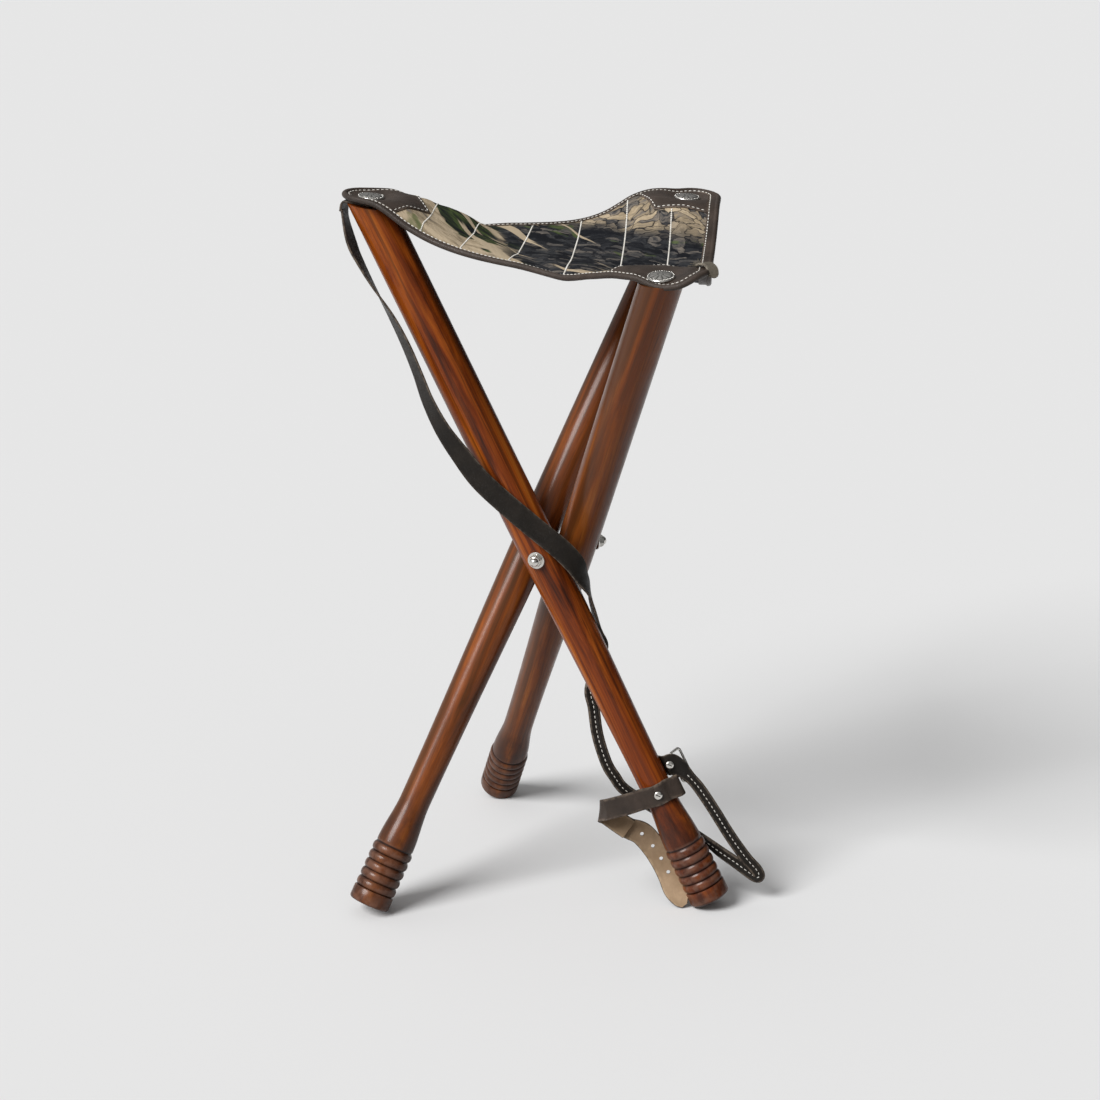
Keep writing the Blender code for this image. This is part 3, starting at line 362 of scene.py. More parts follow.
@dataclass(frozen=True)
class VarnishedWood:
    """Glossy red-brown varnish over streaked lengthwise grain."""

    heart: Colour = (0.026, 0.0055, 0.0018)
    body: Colour = (0.185, 0.0340, 0.0045)
    warm: Colour = (0.350, 0.0800, 0.0080)
    flame: Colour = (0.560, 0.1700, 0.0220)
    streak: Colour = (0.014, 0.0040, 0.0022)
    brown: Colour = (0.170, 0.0640, 0.0180)
    grime: Colour = (0.036, 0.0140, 0.0090)
    # Rubbed wear on the ring crests and foot cap, together with a painted highlight there
    wear_and_highlight: Colour = (0.210, 0.1050, 0.0700)

    def make(self) -> Material:
        """Build the material on the legs' own coordinates.

        Returns:
            The material.
        """
        material, board, shader = new_material("varnished_wood", coat=0.32, coat_roughness=0.20,
                                               specular=0.12)
        place = board.attribute("leg_place")
        figure = board.noise(board.mapped(place, (42.0, 42.0, 3.2)), 1.0, 7.0, 0.64, 0.9)
        colour = board.ramp(figure, ((0.34, self.heart), (0.45, self.body), (0.55, self.warm),
                                     (0.68, self.flame)))
        streaks = board.noise(board.mapped(place, (260.0, 260.0, 3.0)), 1.0, 5.0, 0.65, 0.3)
        streaks = board.product(board.between(streaks, 0.50, 0.66), 0.58)
        colour = board.mix(streaks, colour, self.streak)
        bands = board.noise(board.mapped(place, (34.0, 34.0, 1.3), 0.0, (4.0, 2.0, 0.0)), 1.0, 3.0, 0.55, 0.4)
        colour = board.mix(board.between(bands, 0.49, 0.66, 0.0, 0.88), colour, self.heart)
        pores = board.noise(board.mapped(place, (1100.0, 1100.0, 34.0)), 1.0, 2.0)
        colour = board.mix(board.between(pores, 0.56, 0.72, 0.0, 0.45), colour, self.streak)
        colour = board.mix(board.attribute("tone", "Fac"), colour, self.brown)
        soil = board.product(board.attribute("soil", "Fac"), board.mottled(place, 75.0, 0.45, 1.0))
        colour = board.mix(soil, colour, self.grime)
        # Painted shade: the bottoms of the ring grooves are darkened to the streak colour
        colour = board.mix(board.attribute("groove", "Fac"), colour, self.streak)
        # Rubbed wear and a painted highlight lighten the ring crests and the foot cap
        colour = board.mix(board.product(board.worn("rub_and_highlight", place, 140.0), 0.55), colour, self.wear_and_highlight)
        roughness = board.mottled(place, 55.0, 0.30, 0.46)
        wire(board, shader, colour, roughness, pores, 0.00005)
        return material


@dataclass(frozen=True)
class PrintedCanvas:
    """Matt woven canvas with a generic print of bark, leaves and blades of grass."""

    tan: Colour = (0.560, 0.450, 0.310)
    straw: Colour = (0.360, 0.280, 0.180)
    grey: Colour = (0.215, 0.185, 0.155)
    slate: Colour = (0.042, 0.044, 0.048)
    charcoal: Colour = (0.006, 0.007, 0.010)
    fern: Colour = (0.030, 0.042, 0.018)
    moss: Colour = (0.090, 0.125, 0.036)
    trunk_slope: Triple = (0.27, 0.94, 0.0)

    def bark(self, board: Board, cloth: NodeSocket) -> NodeSocket:
        """Cracked plates, pale along the far edge and dark before it.

        Args:
            board: board of the material.
            cloth: the flat cloth's coordinates.

        Returns:
            The colour.
        """
        bent = board.bent(board.bent(cloth, 30.0, 0.030), 140.0, 0.008)
        scaled = board.mapped(bent, (78.0, 150.0, 1.0), 10.0)
        cells = {"Vector": scaled, "Scale": 1.0}
        plate = board.value("ShaderNodeTexVoronoi", cells, "Color", voronoi_dimensions="2D")
        crack = board.value("ShaderNodeTexVoronoi", cells, "Distance", voronoi_dimensions="2D",
                            feature="DISTANCE_TO_EDGE")
        tone = board.value("ShaderNodeSeparateXYZ", {0: plate})
        rough = board.noise(board.mapped(bent, (120.0, 420.0, 1.0), 10.0), 1.0, 5.0, 0.65)
        tone = board.sum(board.product(tone, 0.45), board.product(rough, 0.75))
        pale = board.ramp(tone, ((0.36, self.slate), (0.50, self.grey), (0.66, self.straw), (0.82, self.tan)))
        dark = board.ramp(tone, ((0.46, self.charcoal), (0.68, self.slate), (0.92, self.grey)))
        depth = board.value("ShaderNodeVectorMath", {0: cloth, 1: self.trunk_slope}, 1,
                            operation="DOT_PRODUCT")
        depth = board.sum(depth, board.product(board.noise(cloth, 26.0, 3.0), 0.05))
        colour = board.mix(board.between(depth, 0.078, 0.112), dark, pale)
        gap = board.sum(crack, board.product(rough, 0.14))
        return board.mix(board.between(gap, 0.07, 0.17, 0.92, 0.0), colour, self.charcoal)

    def leaves(self, board: Board, cloth: NodeSocket) -> NodeSocket:
        """Large pale leaves over dark undergrowth.

        Args:
            board: board of the material.
            cloth: the flat cloth's coordinates.

        Returns:
            The colour.
        """
        blot = board.noise(board.mapped(cloth, (1.0, 1.7, 1.0), 30.0, (0.2, 0.1, 0.0)), 17.0, 2.0, 0.4, 1.2)
        fine = board.noise(board.mapped(cloth, (40.0, 190.0, 1.0), 38.0), 1.0, 4.0, 0.6, 0.5)
        under = board.ramp(fine, ((0.38, self.charcoal), (0.52, self.fern), (0.66, self.moss)))
        over = board.ramp(fine, ((0.30, self.grey), (0.42, self.straw), (0.52, self.tan)))
        return board.mix(board.between(blot, 0.47, 0.51), under, over)

    def make(self) -> Material:
        """Build the material on the flat cloth's coordinates.

        Returns:
            The material.
        """
        material, board, shader = new_material("printed_canvas", specular=0.15)
        cloth = board.attribute("cloth_place")
        across = board.value("ShaderNodeSeparateXYZ", {0: cloth})
        side = board.sum(across, board.product(board.noise(cloth, 22.0, 3.0), 0.10))
        left = board.between(side, -0.015, 0.020, 1.0, 0.0)
        colour = board.mix(left, self.bark(board, cloth), self.leaves(board, cloth))
        sprig = board.noise(board.mapped(cloth, (1.0, 0.7, 1.0), -35.0, (3.1, 1.7, 0.0)), 19.0, 3.0, 0.5, 1.1)
        colour = board.mix(board.between(sprig, 0.64, 0.69, 0.0, 0.75), colour, self.moss)
        blade = board.noise(board.mapped(cloth, (7.0, 62.0, 1.0), 58.0, (0.6, 0.2, 0.0)), 1.0, 2.0, 0.4, 0.5)
        grassy = board.between(across, 0.02, 0.06, 1.0, 0.0)
        blade = board.product(board.between(blade, 0.555, 0.59, 0.0, 0.95), grassy)
        colour = board.mix(blade, colour, self.tan)
        weave = board.sum(*(board.value("ShaderNodeTexWave", {"Vector": cloth, "Scale": 300.0}, 1,
                                        bands_direction=way) for way in "XY"))
        colour = board.mix(board.between(weave, 0.0, 2.0, 0.25, 0.0), colour, self.charcoal)
        roughness = board.mottled(cloth, 130.0, 0.72, 0.92)
        wire(board, shader, colour, roughness, weave, 0.00012)
        return material


@dataclass(frozen=True)
class Leather:
    """Leather with a pebbled hide and rubbed edges."""

    name: str
    deep: Colour
    worn: Colour
    rubbed: Colour
    pebble: float
    depth: float
    low_rough: float
    high_rough: float
    specular: float = 0.32

    def make(self) -> Material:
        """Build the material on object coordinates.

        Returns:
            The material.
        """
        material, board, shader = new_material(self.name, specular=self.specular)
        place = board.place()
        hide = board.add("ShaderNodeGroup", {"Vector": place, "Pebble Scale": self.pebble},
                         node_tree=EFFECTS.hide)
        shade = board.mottled(place, 42.0, 0.0, 0.7)
        colour = board.mix(shade, self.deep, self.worn)
        colour = board.mix(board.product(hide.outputs["Shade"], 0.35), colour, self.deep)
        colour = board.mix(board.worn("edge", place, 260.0), colour, self.rubbed)
        roughness = board.mottled(place, 95.0, self.low_rough, self.high_rough)
        wire(board, shader, colour, roughness, hide.outputs["Height"], self.depth)
        return material


@dataclass(frozen=True)
class NickelPlate:
    """Bright nickel plate with dull recesses and handling marks."""

    bright: Colour = (0.74, 0.72, 0.68)
    dull: Colour = (0.50, 0.48, 0.44)
    recess: Colour = (0.060, 0.055, 0.050)

    def make(self) -> Material:
        """Build the material on object coordinates.

        Returns:
            The material.
        """
        material, board, shader = new_material("nickel", metallic=1.0)
        place = board.place()
        colour = board.mix(board.mottled(place, 260.0, 0.0, 0.6), self.bright, self.dull)
        colour = board.mix(board.attribute("recess", "Fac"), colour, self.recess)
        scuffs = board.noise(board.mapped(place, (900.0, 240.0, 420.0)), 1.0, 3.0)
        wire(board, shader, colour, board.mottled(place, 330.0, 0.14, 0.32), scuffs, 0.00002)
        return material


@dataclass(frozen=True)
class WaxedThread:
    """Off-white sewing thread with a visible twist."""

    pale: Colour = (0.84, 0.82, 0.77)
    soiled: Colour = (0.56, 0.52, 0.45)

    def make(self) -> Material:
        """Build the material on object coordinates.

        Returns:
            The material.
        """
        material, board, shader = new_material("waxed_thread", specular=0.3)
        place = board.place()
        colour = board.mix(board.mottled(place, 120.0, 0.0, 0.75), self.pale, self.soiled)
        twist = board.noise(board.mapped(place, (1.0, 1.0, 1.0), 45.0), 2600.0, 1.0)
        wire(board, shader, colour, board.mottled(place, 200.0, 0.55, 0.8), twist, 0.00012)
        return material


class Finishes:
    """Every finish on the stool, built once."""

    def __init__(self) -> None:
        """Build the materials."""
        self.wood = VarnishedWood().make()
        self.canvas = PrintedCanvas().make()
        self.grain = Leather("leather_grain", (0.028, 0.0195, 0.0145), (0.086, 0.0610, 0.0475),
                             (0.165, 0.122, 0.092), 950.0, 0.00012, 0.36, 0.54).make()
        self.dark = Leather("leather_dark", (0.0080, 0.0064, 0.0050), (0.028, 0.0220, 0.0170),
                            (0.050, 0.040, 0.031), 950.0, 0.00012, 0.34, 0.50, 0.18).make()
        self.suede = Leather("leather_suede", (0.085, 0.0720, 0.0540), (0.210, 0.1830, 0.1430),
                             (0.270, 0.238, 0.190), 1500.0, 0.00018, 0.80, 0.95).make()
        self.flesh = Leather("leather_flesh", (0.300, 0.200, 0.118), (0.620, 0.440, 0.285),
                             (0.600, 0.440, 0.290), 1500.0, 0.00018, 0.80, 0.95).make()
        self.edge = Leather("leather_edge", (0.024, 0.018, 0.014), (0.060, 0.045, 0.034),
                            (0.130, 0.100, 0.075), 1300.0, 0.00012, 0.50, 0.75).make()
        self.nickel = NickelPlate().make()
        self.thread = WaxedThread().make()

    def strap(self, hide: Hide) -> list[Material]:
        """Materials of a strap in the order of Face."""
        return [getattr(self, hide.value), self.flesh, self.suede if hide is Hide.SUEDE else self.edge]


FINISHES = Finishes()


# Mesh helpers

def smooth(value: float) -> float:
    """Ease from 0 to 1."""
    value = min(max(value, 0.0), 1.0)
    return value * value * (3.0 - 2.0 * value)


def piece(name: str, bm: BMesh, materials: Sequence[Material], sharp: float = 40.0,
          turn_out: bool = True) -> Object:
    """Turn a mesh under construction into a finished piece.

    Args:
        name: name of the piece.
        bm: mesh, freed here.
        materials: its material slots.
        sharp: angle in degrees past which an edge stays sharp.
        turn_out: whether to make every face point outwards first.

    Returns:
        The piece.
    """
    if turn_out:
        bmesh.ops.recalc_face_normals(bm, faces=bm.faces[:])
    mesh = bpy.data.meshes.new(name)
    bm.to_mesh(mesh)
    bm.free()
    for material in materials:
        mesh.materials.append(material)
    finish_mesh(mesh, sharp)
    made = bpy.data.objects.new(name, mesh)
    bpy.context.scene.collection.objects.link(made)
    return made


def finish_mesh(mesh: Mesh, sharp: float) -> None:
    """Shade a mesh smooth apart from its sharp edges."""
    mesh.polygons.foreach_set("use_smooth", [True] * len(mesh.polygons))
    mesh.set_sharp_from_angle(angle=math.radians(sharp))


def loft(rings: Sequence[Sequence[Vector]], closed: bool = False) -> BMesh:
    """Skin a row of equal rings.

    Args:
        rings: closed rings of points.
        closed: whether the last ring joins the first; the ends are capped if not.

    Returns:
        The mesh.
    """
    bm = bmesh.new()
    rows = [[bm.verts.new(point) for point in ring] for ring in rings]
    pairs = list(zip(rows, rows[1:])) + ([(rows[-1], rows[0])] if closed else [])
    count = len(rows[0])
    for low, high in pairs:
        for i in range(count):
            j = (i + 1) % count
            bm.faces.new((low[i], low[j], high[j], high[i]))
    if not closed:
        bm.faces.new(rows[0][::-1])
        bm.faces.new(rows[-1])
    return bm


def dressed(made: Object, slot: Slot, *nodes: str) -> Object:
    """Hide the solids that a piece stands for.

    Args:
        made: the piece.
        slot: its material slot, not used.
        nodes: solids that it stands for, if any.

    Returns:
        The piece.
    """
    if nodes:
        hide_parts(*nodes)
    return made


def mark(bm: BMesh, name: str, values: Sequence[float]) -> None:
    """Store a value on each point of a mesh.

    Args:
        bm: the mesh.
        name: name of the attribute.
        values: values in the order of the points.
    """
    layer = bm.verts.layers.float.new(name)
    for vertex, value in zip(bm.verts, values):
        vertex[layer] = value


def circle(radius: float, height: float, sides: int) -> list[Vector]:
    """Ring of points round Z."""
    turns = [2.0 * math.pi * i / sides for i in range(sides)]
    return [Vector((radius * math.cos(turn), radius * math.sin(turn), height)) for turn in turns]


def lathe(rows: Sequence[Row], sides: int) -> BMesh:
    """Turn a profile of heights and radii about Z."""
    return loft([circle(radius, height, sides) for height, radius in rows])


def box(place: Matrix, size: Sequence[float]) -> BMesh:
    """Box of a size at a frame.

    Args:
        place: frame of its middle.
        size: its three lengths.

    Returns:
        The box.
    """
    bm = bmesh.new()
    bmesh.ops.create_cube(bm, size=1.0)
    bm.transform(place @ Matrix.Diagonal((*size, 1.0)))
    return bm


def carve(target: Object, cutters: Sequence[BMesh], sharp: float) -> None:
    """Cut shapes out of a piece.

    Args:
        target: piece to cut.
        cutters: closed meshes, freed here.
        sharp: angle in degrees past which an edge stays sharp.
    """
    helpers = []
    for bm in cutters:
        bmesh.ops.recalc_face_normals(bm, faces=bm.faces[:])
        mesh = bpy.data.meshes.new("cutter")
        bm.to_mesh(mesh)
        bm.free()
        helper = bpy.data.objects.new("cutter", mesh)
        bpy.context.scene.collection.objects.link(helper)
        modifier = target.modifiers.new("cut", "BOOLEAN")
        modifier.operation, modifier.solver, modifier.object = "DIFFERENCE", "EXACT", helper
        helpers.append(helper)
    old = target.data
    target.data = evaluated(target)
    target.modifiers.clear()
    finish_mesh(target.data, sharp)
    bpy.data.meshes.remove(old)
    for helper in helpers:
        bpy.data.objects.remove(helper)


def evaluated(made: Object) -> Mesh:
    """Plain mesh of an object with its modifiers applied.

    Args:
        made: object with live modifiers.

    Returns:
        The mesh.
    """
    graph = bpy.context.evaluated_depsgraph_get()
    graph.update()
    return bpy.data.meshes.new_from_object(made.evaluated_get(graph), preserve_all_data_layers=True,
                                           depsgraph=graph)


def frame_on(point: Vector, facing: Vector) -> Matrix:
    """Frame at a point.

    Args:
        point: origin.
        facing: direction of Z.

    Returns:
        The frame.
    """
    z = facing.normalized()
    x = z.orthogonal()
    x = (x - z * x.dot(z)).normalized()
    turn = Matrix((x, z.cross(x), z)).transposed().to_4x4()
    return Matrix.Translation(point) @ turn


def spline(points: Sequence[Vector], steps: int) -> list[Vector]:
    """Catmull-Rom samples through a row of vectors.

    Args:
        points: vectors to pass through.
        steps: samples between two of them.

    Returns:
        The samples.
    """
    rows = [points[0], *points, points[-1]]
    samples = []
    for p0, p1, p2, p3 in zip(rows, rows[1:], rows[2:], rows[3:]):
        for i in range(steps):
            t = i / steps
            samples.append(0.5 * (2 * p1 + (p2 - p0) * t + (2 * p0 - 5 * p1 + 4 * p2 - p3) * t * t
                                  + (3 * p1 - p0 - 3 * p2 + p3) * t ** 3))
    return samples + [Vector(points[-1])]


def line_mesh(lines: Sequence[Line], closed: bool = False) -> Mesh:
    """Mesh of edges that carries the direction each point faces.

    Args:
        lines: points with their facing directions.
        closed: whether each line is a loop.

    Returns:
        The mesh.
    """
    points, edges, facings = [], [], []
    for line in lines:
        first = len(points)
        points += [point for point, _ in line]
        facings += [facing for _, facing in line]
        edges += [(first + i, first + i + 1) for i in range(len(line) - 1)]
        if closed:
            edges.append((first + len(line) - 1, first))
    mesh = bpy.data.meshes.new("lines")
    mesh.from_pydata(points, edges, [])
    layer = mesh.attributes.new("facing", "FLOAT_VECTOR", "POINT")
    layer.data.foreach_set("vector", [value for facing in facings for value in facing])
    return mesh


# Geometry trees

class GeometryTrees:
    """Trees that make the repeated and swept pieces."""

    def __init__(self) -> None:
        """Build each tree once."""
        self.stitches = self._stitches()
        self.tube = self._tube()
        self.fasteners = self._fasteners()

    @staticmethod
    def _finish(board: Board, start: Node, end: Node, geometry: NodeSocket) -> NodeTree:
        """Realize the instances, smooth them and set their material.

        Args:
            board: board of the tree.
            start: its input node.
            end: its output node.
            geometry: what the tree has made.

        Returns:
            The finished tree.
        """
        plain = board.value("GeometryNodeRealizeInstances", {0: geometry})
        shaded = board.value("GeometryNodeSetShadeSmooth", {0: plain})
        clad = board.value("GeometryNodeSetMaterial", {"Geometry": shaded,
                                                       "Material": start.outputs["Material"]})
        board.tree.links.new(clad, end.inputs[0])
        return board.tree

    @staticmethod
    def _rotation(board: Board, along: Optional[NodeSocket]) -> NodeSocket:
        """Rotation from the facing attribute.

        Args:
            board: board of the tree.
            along: direction of X, if there is one.

        Returns:
            The rotation.
        """
        facing = board.value("GeometryNodeInputNamedAttribute", {"Name": "facing"}, data_type="FLOAT_VECTOR")
        kind = "FunctionNodeAlignRotationToVector"
        if along is None:
            return board.value(kind, {"Vector": facing}, axis="Z")
        first = board.value(kind, {"Vector": along}, axis="X")
        return board.value(kind, {"Rotation": first, "Vector": facing}, axis="Z", pivot_axis="X")

    def _stitches(self) -> NodeTree:
        """Row of rounded stitches or beads along lines.

        Returns:
            The tree.
        """
        board, start, end = new_tree("stitch_row", "GeometryNodeTree", {
            "Geometry": "Geometry", "Pitch": 0.0045, "Length": 0.003, "Width": 0.0009, "Height": 0.0006,
            "Material": "Material"}, {"Geometry": "Geometry"})
        read = start.outputs
        curve = board.value("GeometryNodeMeshToCurve", {0: read["Geometry"]})
        spaced = board.value("GeometryNodeResampleCurve", {"Curve": curve, "Length": read["Pitch"]},
                             mode="LENGTH")
        ball = board.value("GeometryNodeMeshUVSphere", {"Segments": 8, "Rings": 5, "Radius": 0.5})
        size = board.value("ShaderNodeCombineXYZ", {0: read["Length"], 1: read["Width"], 2: read["Height"]})
        stitch = board.value("GeometryNodeTransform", {"Geometry": ball, "Scale": size})
        tangent = board.value("GeometryNodeInputTangent")
        row = board.value("GeometryNodeInstanceOnPoints", {"Points": spaced, "Instance": stitch,
                                                           "Rotation": self._rotation(board, tangent)})
        return self._finish(board, start, end, row)

    def _tube(self) -> NodeTree:
        """Round tube swept along lines.

        Returns:
            The tree.
        """
        board, start, end = new_tree("swept_tube", "GeometryNodeTree", {
            "Geometry": "Geometry", "Radius": 0.002, "Sides": 16, "Material": "Material"},
            {"Geometry": "Geometry"})
        read = start.outputs
        curve = board.value("GeometryNodeMeshToCurve", {0: read["Geometry"]})
        ring = board.value("GeometryNodeCurvePrimitiveCircle", {"Resolution": read["Sides"],
                                                                "Radius": read["Radius"]})
        sweep = board.value("GeometryNodeCurveToMesh", {"Curve": curve, "Profile Curve": ring,
                                                        "Fill Caps": True})
        return self._finish(board, start, end, sweep)

    def _fasteners(self) -> NodeTree:
        """One fastener set on every point, facing outwards.

        Returns:
            The tree.
        """
        board, start, end = new_tree("fastener_set", "GeometryNodeTree", {
            "Geometry": "Geometry", "Fastener": "Object", "Material": "Material"}, {"Geometry": "Geometry"})
        shape = board.value("GeometryNodeObjectInfo", {"Object": start.outputs["Fastener"]}, "Geometry")
        placed = board.value("GeometryNodeInstanceOnPoints", {
            "Points": start.outputs["Geometry"], "Instance": shape, "Rotation": self._rotation(board, None)})
        return self._finish(board, start, end, placed)

    def grow(self, name: str, tree: NodeTree, lines: Mesh, sharp: float = 60.0,
             **inputs: object) -> Object:
        """Run a tree on a mesh of lines or points.

        Args:
            name: name of the piece.
            tree: tree to run.
            lines: mesh it reads, which the result replaces.
            sharp: angle in degrees past which an edge stays sharp.
            inputs: values of the tree's named inputs.

        Returns:
            The piece as a plain mesh.
        """
        made = bpy.data.objects.new(name, lines)
        bpy.context.scene.collection.objects.link(made)
        modifier = made.modifiers.new("grow", "NODES")
        modifier.node_group = tree
        sockets = {item.name: item.identifier for item in tree.interface.items_tree if item.in_out == "INPUT"}
        for label, value in inputs.items():
            modifier[sockets[label]] = value
        mesh = evaluated(made)
        made.modifiers.clear()
        bm = bmesh.new()
        bm.from_mesh(mesh)
        bmesh.ops.recalc_face_normals(bm, faces=bm.faces[:])
        bm.to_mesh(mesh)
        bm.free()
        mesh.name = name
        made.data = mesh
        bpy.data.meshes.remove(lines)
        finish_mesh(mesh, sharp)
        return made


TREES = GeometryTrees()


# Legs

@dataclass(frozen=True)
class Stance:
    """Where one leg stands, from its joint in the record."""

    leg: LegName
    pivot: Vector
    axis: Vector
    splay: float

    @staticmethod
    def read() -> dict[LegName, "Stance"]:
        """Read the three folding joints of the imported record.

        Returns:
            The stance of each leg.
        """
        joints = {joint["name"]: joint for joint in frame["joints"]}
        found = {}
        for leg in LEGS:
            joint = joints[f"leg_{leg.value}_fold"]
            found[leg] = Stance(leg, Vector(joint["pos_m"]), Vector(joint["axis"]).normalized(),
                                math.radians(-min(joint["range_deg"])))
        return found

    @property
    def matrix(self) -> Matrix:
        """Frame of the leg: X along its stud, Z up the leg, origin on the stud."""
        turn = Matrix.Rotation(math.atan2(self.axis.y, self.axis.x), 4, "Z")
        return Matrix.Translation(self.pivot) @ (turn @ Matrix.Rotation(self.splay, 4, "X"))


@dataclass
class TurnedLeg:
    """One lathe-turned leg with a ringed foot and a level top."""

    stance: Stance
    length: float = 0.720
    top_facing: Triple = (0.0, 0.0, 1.0)
    tone: float = 0.0
    shaft_radius: float = 0.0186
    shaft_station: float = 0.420
    neck_radius: float = 0.0143
    neck_station: float = 0.105
    flare_radius: float = 0.0179
    foot_radius: float = 0.0193
    cap_length: float = 0.014
    cap_round: float = 0.0030
    solid_cap_round: float = 0.0026
    ring_count: int = 5
    ring_pitch: float = 0.0088
    ring_depth: float = 0.0019
    stud_radius: float = 0.003
    soil: float = 0.85
    soil_station: float = 0.072
    soil_fade: float = 0.060
    grain_step: float = 1.7
    sharp: float = 34.0
    sides: int = 64

    @property
    def foot_to_pivot(self) -> float:
        """Length from the foot end to the stud.

        Returns:
            The length.
        """
        tilt, rounding = self.stance.splay, self.solid_cap_round
        edge = ((0.0, self.foot_radius - rounding), (0.3 * rounding, self.foot_radius - 0.3 * rounding),
                (rounding, self.foot_radius))
        drop = max(radius * math.sin(tilt) - station * math.cos(tilt) for station, radius in edge)
        return (self.stance.pivot.z - drop) / math.cos(tilt)

    @property
    def top(self) -> Vector:
        """Middle of the level top."""
        return self.stance.matrix @ Vector((0.0, 0.0, self.length - self.foot_to_pivot))

    def radius(self, station: float) -> float:
        """Radius of the shaft above the neck."""
        share = (station - self.neck_station) / (self.shaft_station - self.neck_station)
        return self.neck_radius + smooth(share) * (self.shaft_radius - self.neck_radius)

    def profile(self) -> list[tuple[float, float, float, float]]:
        """Profile of the leg.

        Returns:
            Station, radius, groove mark (painted shade in the ring grooves) and crest mark (rubbed wear with
            a painted highlight on the ring crests and foot cap) of each row from the foot end up.
        """
        foot, rounding = self.foot_radius, self.cap_round
        rows = [(0.0, (foot - rounding) * share, 0.0, 0.3) for share in (0.25, 0.6, 0.9)]
        for i in range(8):
            turn = math.radians(90.0 * i / 7.0)
            rows.append((rounding * (1.0 - math.cos(turn)), foot - rounding * (1.0 - math.sin(turn)),
                         0.0, 1.0))
        rows += [(self.cap_length * 0.55, foot, 0.0, 0.5), (self.cap_length - 0.0012, foot, 0.0, 0.6),
                 (self.cap_length - 0.0004, foot - 0.0004, 0.1, 0.8)]
        for ring in range(self.ring_count):
            for i in range(11):
                across = -1.0 + 2.0 * i / 11.0
                sink = abs(across) ** 2.6
                station = self.cap_length + (ring + i / 11.0) * self.ring_pitch
                rows.append((station, foot - self.ring_depth * sink, abs(across) ** 5.0, 0.9 * (1.0 - sink)))
        start = self.cap_length + self.ring_count * self.ring_pitch
        rows += [(start, foot - self.ring_depth, 1.0, 0.0),
                 (start + 0.0009, foot - self.ring_depth, 0.9, 0.0)]
        start += self.ring_depth
        for i in range(23):
            station = start + i / 22.0 * (self.neck_station - start)
            radius = self.flare_radius + smooth(i / 22.0) * (self.neck_radius - self.flare_radius)
            rows.append((station, radius, 0.0, 0.8 if i == 0 else 0.0))
        for i in range(1, 33):
            station = self.neck_station + i / 32.0 * (self.shaft_station - self.neck_station)
            rows.append((station, self.radius(station), 0.0, 0.0))
        last = self.length + self.shaft_radius
        rows += [(self.shaft_station + i / 12.0 * (last - self.shaft_station), self.shaft_radius, 0.0, 0.0)
                 for i in range(1, 13)]
        return rows

    def build(self) -> Object:
        """Turn the leg, level its top and bore it for the stud.

        Returns:
            The leg.
        """
        rows, body = self.profile(), self.stance.leg.body
        bm = lathe([row[:2] for row in rows], self.sides)
        place = bm.verts.layers.float_vector.new("leg_place")
        shift = Vector((0.0, 0.0, self.grain_step * LEGS.index(self.stance.leg)))
        for vertex in bm.verts:
            vertex[place] = vertex.co + shift
        soils = [self.soil * (1.0 - smooth((row[0] - self.soil_station) / self.soil_fade)) for row in rows]
        # The groove mark darkens the ring grooves as painted shade; the crest mark lightens the ring crests
        # and foot cap as rubbed wear with a painted highlight
        for name, values in (("groove", [row[2] for row in rows]), ("rub_and_highlight", [row[3] for row in rows]),
                             ("soil", soils), ("tone", [self.tone] * len(rows))):
            mark(bm, name, [value for value in values for _ in range(self.sides)])
        matrix = self.stance.matrix
        bm.transform(matrix @ Matrix.Translation((0.0, 0.0, -self.foot_to_pivot)))
        cut = bmesh.ops.bisect_plane(bm, geom=bm.verts[:] + bm.edges[:] + bm.faces[:], plane_co=self.top,
                                     plane_no=self.top_facing, clear_outer=True)
        bmesh.ops.contextual_create(bm, geom=[part for part in cut["geom_cut"] if isinstance(part, BMEdge)])
        made = piece("turned_" + body, bm, [FINISHES.wood], self.sharp)
        reach = 2.0 * self.shaft_radius
        bore = lathe([(-reach, self.stud_radius + GAP), (reach, self.stud_radius + GAP)], 24)
        bore.transform(matrix @ Matrix.Rotation(math.pi / 2, 4, "Y"))
        carve(made, [bore], self.sharp)
        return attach(dressed(made, Slot.WOOD, body), body)


# Bolt and fasteners

